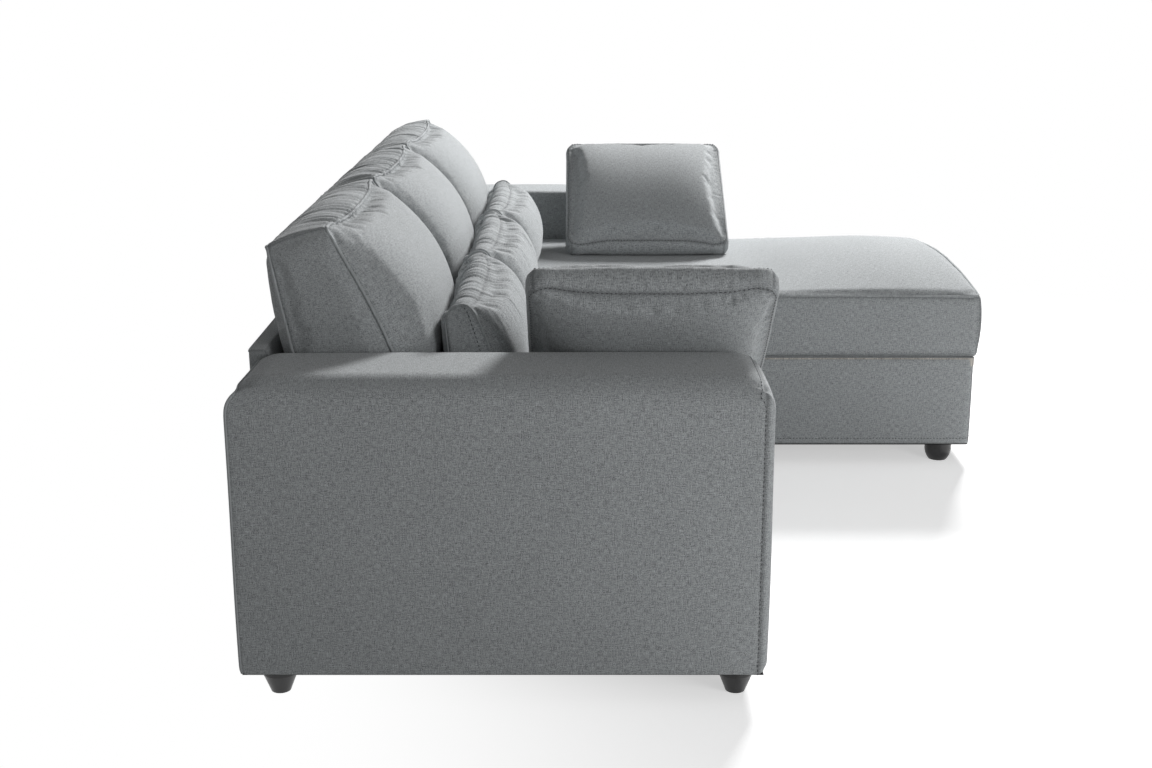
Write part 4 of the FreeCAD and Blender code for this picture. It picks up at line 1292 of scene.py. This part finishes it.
def rounded_form(name, low, high, rounds, puff, margin=0.075):
    """Box with rounded edges; puff gives by (axis, end) how far a side stands out in its middle."""
    size = [high[k] - low[k] for k in range(3)]
    fine, coarse = 0.006, 0.022
    steps = [closer_ends(size[k], fine, coarse, min(margin, size[k] * 0.4)) for k in range(3)]

    def place(cube):
        found = np.stack([low[k] + cube[:, k] * size[k] for k in range(3)], 1)
        return round_edges(found, low, high, rounds)

    form = Form(name, steps, place)
    shares = np.sin(np.pi * np.clip(form.cube, 0, 1)) ** 0.7
    lift = np.zeros(len(form.cube))
    for (axis, end), amount in puff.items():
        on = np.abs(form.cube[:, axis] - end) < EXACT
        a, b = [k for k in range(3) if k != axis]
        lift[on] = np.maximum(lift[on], amount * shares[on, a] * shares[on, b])
    form.places = form.places + form.normals * lift[:, None]
    return form


def soft_uneven(places, seed, size, depth):
    """Slow unevenness of foam under cloth, from a few random waves."""
    rng = np.random.default_rng(seed)
    total = np.zeros(len(places))
    for _ in range(9):
        direction = rng.normal(size=3)
        direction /= np.linalg.norm(direction)
        length = size * rng.uniform(0.6, 1.6)
        total += np.sin(places @ direction * 2 * np.pi / length + rng.uniform(0, 6.28))
    return total / 3 * depth


ARM_SEAM = 0.017  # from the arm's front to the seam round its front panel
# Axes a and b (0, 1, 2 are X, Y, Z), ends on them, radius
ARM_PROFILE = [(1, 2, -1, 1, 0.055), (1, 2, 1, 1, 0.067), (1, 2, -1, -1, 0.022), (1, 2, 1, -1, 0.014)]


class SOFA_OT_arms(bpy.types.Operator):
    """Two padded arms with a stitched front panel and a welt round the rear panel"""

    bl_idname = "sofa.arms"
    bl_label = "Arms"

    def execute(self, context):
        for number, (name, outer) in enumerate((("left", -1), ("right", 1))):
            low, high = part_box(name + "_arm_cover")
            rounds = [
                *ARM_PROFILE, (0, 2, outer, 1, 0.050), (0, 2, -outer, 1, 0.020),
                (0, 1, outer, -1, 0.017), (0, 1, -outer, -1, 0.017),
                (0, 1, outer, 1, 0.006), (0, 1, -outer, 1, 0.006),
            ]
            puff = {(0, 0.0 if outer < 0 else 1.0): PUFF, (1, 0.0): PUFF}
            form = rounded_form(name + "_arm_padded", low, high, rounds, puff)
            made = finished(form, form.places)
            places, normals, _ = shown(made)
            lift = soft_uneven(places, 7 + number, 0.42, 0.0012)
            not_in_front = np.abs(normals[:, 1]) < 0.8
            seam = bell(places[:, 1] - (low.y + ARM_SEAM), CREASE_WIDTH) * not_in_front
            under = places[:, 2] < low.z + 0.02
            set_points(made, places + normals * np.where(under, 0.0, lift - 0.0022 * seam)[:, None])
            set_crease(made, seam)
            nodes = (name + "_arm_cover", name + "_arm_padding")
            upholster(made, "sofa_frame", nodes)
            cube = shown(made)[2]
            rim = closed_line(made, border(cube, 1, 1.0))
            add_welts(name + "_arm_rear_welt", [rim], "sofa_frame")
            around = arch_at(cube, ARM_SEAM / (high.y - low.y))
            seam_line = open_line(made, around, 0.0003)
            add_stitches(name + "_arm_front_stitches", [seam_line], "sofa_frame")
        return {"FINISHED"}


def arch_at(cube, value):
    """Vertex numbers up one side, over the top and down the other, near one place along Y."""
    on_arch = np.abs(cube[:, 1] - nearest_step(cube[:, 1], value)) < NEAR
    up = np.nonzero(on_arch & (cube[:, 0] < NEAR))[0]
    over = np.nonzero(on_arch & (cube[:, 2] > 1 - NEAR))[0]
    down = np.nonzero(on_arch & (cube[:, 0] > 1 - NEAR))[0]
    up = up[np.argsort(cube[up, 2])]
    over = over[np.argsort(cube[over, 0])]
    down = down[np.argsort(-cube[down, 2])]
    return np.concatenate([up, over[1:-1], down])


class SOFA_OT_back_frame(bpy.types.Operator):
    """Padded back frame behind the cushions"""

    bl_idname = "sofa.back_frame"
    bl_label = "Back frame"

    def execute(self, context):
        low, high = BACK_LOW, BACK_HIGH
        top_width, lean, foot_width = 0.032, math.radians(12.0), 0.06
        inner_foot = high.y - top_width - (high.z - low.z) * math.tan(lean)
        corners = [
            (inner_foot, low.z), (high.y - top_width, high.z), (high.y, high.z), (high.y, low.z),
        ]
        counts = ((high.x - low.x) / 0.016, (high.z - low.z) / 0.012, 6)
        bulges, draw_in = (0.0, 0.002, 0.003, 0.0), (0, 0, 0, 0)
        form = block_form("back_padded", "X", (low.x, high.x), corners, bulges, draw_in, counts)
        made = finished(form, form.places)
        places, normals, cube = shown(made)
        lift = soft_uneven(places, 17, 0.6, 0.0008) * (cube[:, 2] > 0.99)
        set_points(made, places + normals * lift[:, None])
        gap = seam_distance(cube, (high.x - low.x, high.z - low.z, foot_width))
        set_crease(made, bell(gap, CREASE_WIDTH))
        upholster(made, "sofa_frame", ("back_cover", "back_padding"))
        rear_edge = open_line(made, row_at(cube, {1: 1.0, 2: 1.0}, 0), -0.001)
        add_welts("back_frame_welt", [rear_edge], "sofa_frame")
        return {"FINISHED"}


class SOFA_OT_rail_and_base(bpy.types.Operator):
    """Covered front rail and the covered chaise base"""

    bl_idname = "sofa.rail_and_base"
    bl_label = "Front rail and chaise base"

    def execute(self, context):
        self.add_rail()
        self.add_base()
        return {"FINISHED"}

    def add_rail(self):
        """Padded rail under the seat cushions' front."""
        low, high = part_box("front_rail_cover")
        rounds = [(1, 2, -1, 1, 0.010), (1, 2, -1, -1, 0.006)]
        form = rounded_form("front_rail_padded", low, high, rounds, {}, margin=0.02)
        rail = finished(form, form.places)
        places, normals, _ = shown(rail)
        lift = soft_uneven(places, 23, 0.5, 0.0008) * (normals[:, 1] < -0.8)
        set_points(rail, places + normals * lift[:, None])
        set_crease(rail, np.zeros(len(places)))
        upholster(rail, "sofa_frame", ("front_rail_cover", "front_rail_padding"))

    def add_base(self):
        """Padded chaise base with a seam down its front corner and a stitched hem."""
        low, high = BASE_LOW, BASE_HIGH
        upright, upper, lower = 0.020, 0.012, 0.008
        rounds = []
        for to_x in (-1, 1):
            for to_y in (-1, 1):
                rounds.append((0, 1, to_x, to_y, upright))
            rounds.append((0, 2, to_x, 1, upper))
            rounds.append((0, 2, to_x, -1, lower))
        for to_y in (-1, 1):
            rounds.append((1, 2, to_y, 1, upper))
            rounds.append((1, 2, to_y, -1, lower))
        puff = {(0, 0.0): PUFF, (1, 0.0): PUFF}
        form = rounded_form("chaise_base_padded", low, high, rounds, puff, margin=0.05)
        base = finished(form, form.places)
        places, normals, cube = shown(base)
        lift = soft_uneven(places, 29, 0.5, 0.0008) * (np.abs(normals[:, 2]) < 0.3)
        from_seam = cube[:, 0] * (high.x - low.x) - 0.014
        lift -= 0.002 * bell(from_seam, CREASE_WIDTH) * (cube[:, 1] < NEAR)
        set_points(base, places + normals * lift[:, None])
        gap = seam_distance(cube, [high[k] - low[k] for k in range(3)])
        set_crease(base, bell(gap, CREASE_WIDTH))
        upholster(base, "chaise_base", ("chaise_base_cover", "chaise_base_padding"))
        hem = closed_line(base, border(cube, 2, 0.018 / (high.z - low.z)), 0.0003)
        add_stitches("chaise_base_hem_stitches", [hem], "chaise_base")


class SOFA_OT_inner_finishes(bpy.types.Operator):
    """Finishes of the feet and of everything under the covers"""

    bl_idname = "sofa.inner_finishes"
    bl_label = "Feet and inner pieces"

    def execute(self, context):
        by_slot = {
            "cushion_filling": "foam", "padding_foam": "foam", "deck_felt": "felt", "deck_cloth": "dust",
            "dust_cloth": "dust", "webbing": "webbing", "frame_timber": "wood", "fibre_board": "board",
            "spring_steel": "spring", "zinc_steel": "zinc", "foot_black": "foot", "upholstery": "welt",
        }
        slots = {s["node"]: s["material_slot"] for s in frame["record"]["subparts"]}
        for node, piece in frame["nodes"].items():
            piece.data.materials.clear()
            piece.data.materials.append(MATERIALS[by_slot[slots[node]]])
        return {"FINISHED"}


# Lamp: name, size, place
KEY_LAMP = ("key", 1.2, (4.4, -1.85, 3.4))
FILL_LAMP = ("fill", 1.5, (-3.2, -2.6, 1.1))
LAMP_AIM = (0.1, 0.1, 0.4)
FLOOR_REACH = 40.0
SHADE_CENTRE = (0.0, -0.5, 0.0)  # the floor shows its shadows around this place
SHADE_RADII = (1.3, 2.6)  # fully within the first, not at all past the second
SHADE_ACROSS = (0.75, -0.2)  # and from behind the sofa to its seat


class SOFA_OT_stage(bpy.types.Operator):
    """Pale floor, soft lamps and the camera"""

    bl_idname = "sofa.stage"
    bl_label = "Stage"

    def execute(self, context):
        scene = context.scene
        scene.view_settings.view_transform = "Standard"
        settings = scene.sofa_stage
        camera = bpy.data.cameras.new("camera")
        camera.lens = settings.lens
        camera.sensor_width = 36.0
        camera.clip_start = 0.05
        view = bpy.data.objects.new("camera", camera)
        view.location = (settings.camera_x, settings.camera_y, settings.camera_z)
        view.rotation_euler = (math.radians(90.0 - settings.camera_pitch), 0.0, math.radians(-90.0))
        scene.collection.objects.link(view)
        scene.camera = view
        self.add_floor(scene)
        self.add_lamp(scene, settings.key_power, *KEY_LAMP)
        self.add_lamp(scene, settings.fill_power, *FILL_LAMP)
        self.light_world(scene, settings.sky)
        return {"FINISHED"}

    def add_floor(self, scene):
        """Floor that is white to the camera, except where it shows the sofa's shadows."""
        mesh = bpy.data.meshes.new("floor")
        corners = [(x * FLOOR_REACH, y * FLOOR_REACH, 0) for x, y in ((-1, -1), (1, -1), (1, 1), (-1, 1))]
        mesh.from_pydata(corners, [], [(0, 1, 2, 3)])
        floor = bpy.data.objects.new("floor", mesh)
        scene.collection.objects.link(floor)
        made, tree, shader = new_material("pale floor", 0.9)
        place = add_node(tree, "ShaderNodeTexCoord").outputs["Object"]
        tint = ramp(tree, noise(tree, place, 3.0, 4.0), 0.3, 0.7, 0.79, 0.81)
        shader.inputs["Specular IOR Level"].default_value = 0.0
        direct = seen_directly(tree)
        parts = add_node(tree, "ShaderNodeSeparateXYZ", {0: place}).outputs
        shade_side = ramp(tree, parts[1], *SHADE_ACROSS, kind="SMOOTHSTEP")
        away = add_node(tree, "ShaderNodeVectorMath", {0: place, 1: SHADE_CENTRE}, operation="DISTANCE")
        around = ramp(tree, away.outputs["Value"], *SHADE_RADII, 1.0, 0.0, kind="SMOOTHSTEP")
        shaded = maths(tree, "MULTIPLY", shade_side, around)
        hidden = maths(tree, "MULTIPLY", direct, maths(tree, "SUBTRACT", 1.0, shaded))
        base = maths(tree, "MULTIPLY", tint, maths(tree, "SUBTRACT", 1.0, hidden))
        tree.links.new(base, shader.inputs["Base Color"])
        glow = maths(tree, "SUBTRACT", 1.0, maths(tree, "MULTIPLY", shaded, 0.5))
        tree.links.new(maths(tree, "MULTIPLY", direct, glow), shader.inputs["Emission Strength"])
        shader.inputs["Emission Color"].default_value = (1, 1, 1, 1)
        mesh.materials.append(made)

    def add_lamp(self, scene, power, name, size, place):
        """Square lamp that is aimed at the sofa."""
        lamp = bpy.data.lights.new(name, "AREA")
        lamp.energy = power
        lamp.size = size
        made = bpy.data.objects.new(name, lamp)
        made.location = place
        aim = Vector(LAMP_AIM) - Vector(place)
        made.rotation_euler = aim.to_track_quat("-Z", "Y").to_euler()
        scene.collection.objects.link(made)

    def light_world(self, scene, strength):
        """Even light from all sides, on a background that is white to the camera."""
        world = bpy.data.worlds.new("studio")
        scene.world = world
        world.use_nodes = True
        tree = world.node_tree
        back = tree.nodes["Background"]
        back.inputs["Color"].default_value = (1, 1, 1, 1)
        level = ramp(tree, seen_directly(tree), 0.0, 1.0, strength, 1.0)
        tree.links.new(level, back.inputs["Strength"])


STEPS = (
    SOFA_OT_stage, SOFA_OT_inner_finishes, SOFA_OT_arms, SOFA_OT_back_frame, SOFA_OT_rail_and_base,
    SOFA_OT_seat_cushions, SOFA_OT_back_cushions, SOFA_OT_lumbar_pillows, SOFA_OT_square_pillows,
)


class SOFA_PT_panel(bpy.types.Panel):
    """Sizes, colours and steps of the sofa"""

    bl_idname = "SOFA_PT_panel"
    bl_label = "Sectional sofa"
    bl_space_type = "VIEW_3D"
    bl_region_type = "UI"
    bl_category = "Sofa"

    def draw(self, context):
        layout = self.layout
        for group in (context.scene.sofa_cloth, context.scene.sofa_cushions, context.scene.sofa_stage):
            for name in group.bl_rna.properties.keys():
                if name not in ("rna_type", "name"):
                    layout.prop(group, name)
        for step in STEPS:
            layout.operator(step.bl_idname)


GROUPS = (("sofa_cloth", SofaCloth), ("sofa_cushions", SofaCushions), ("sofa_stage", SofaStage))


def register():
    """Register the settings, the operators and the panel."""
    for name, group in GROUPS:
        bpy.utils.register_class(group)
        setattr(bpy.types.Scene, name, bpy.props.PointerProperty(type=group))
    for step in STEPS:
        bpy.utils.register_class(step)
    bpy.utils.register_class(SOFA_PT_panel)


def unregister():
    """Take them out again, in the opposite order."""
    bpy.utils.unregister_class(SOFA_PT_panel)
    for step in reversed(STEPS):
        bpy.utils.unregister_class(step)
    for name, group in reversed(GROUPS):
        delattr(bpy.types.Scene, name)
        bpy.utils.unregister_class(group)


def main():
    """Make the finishes and run every step."""
    register()
    make_materials()
    TREES["welt"] = welt_tree()
    TREES["stitch"] = stitch_tree()
    for step in STEPS:
        group, name = step.bl_idname.split(".")
        getattr(getattr(bpy.ops, group), name)()


if __name__ == "__main__":
    main()
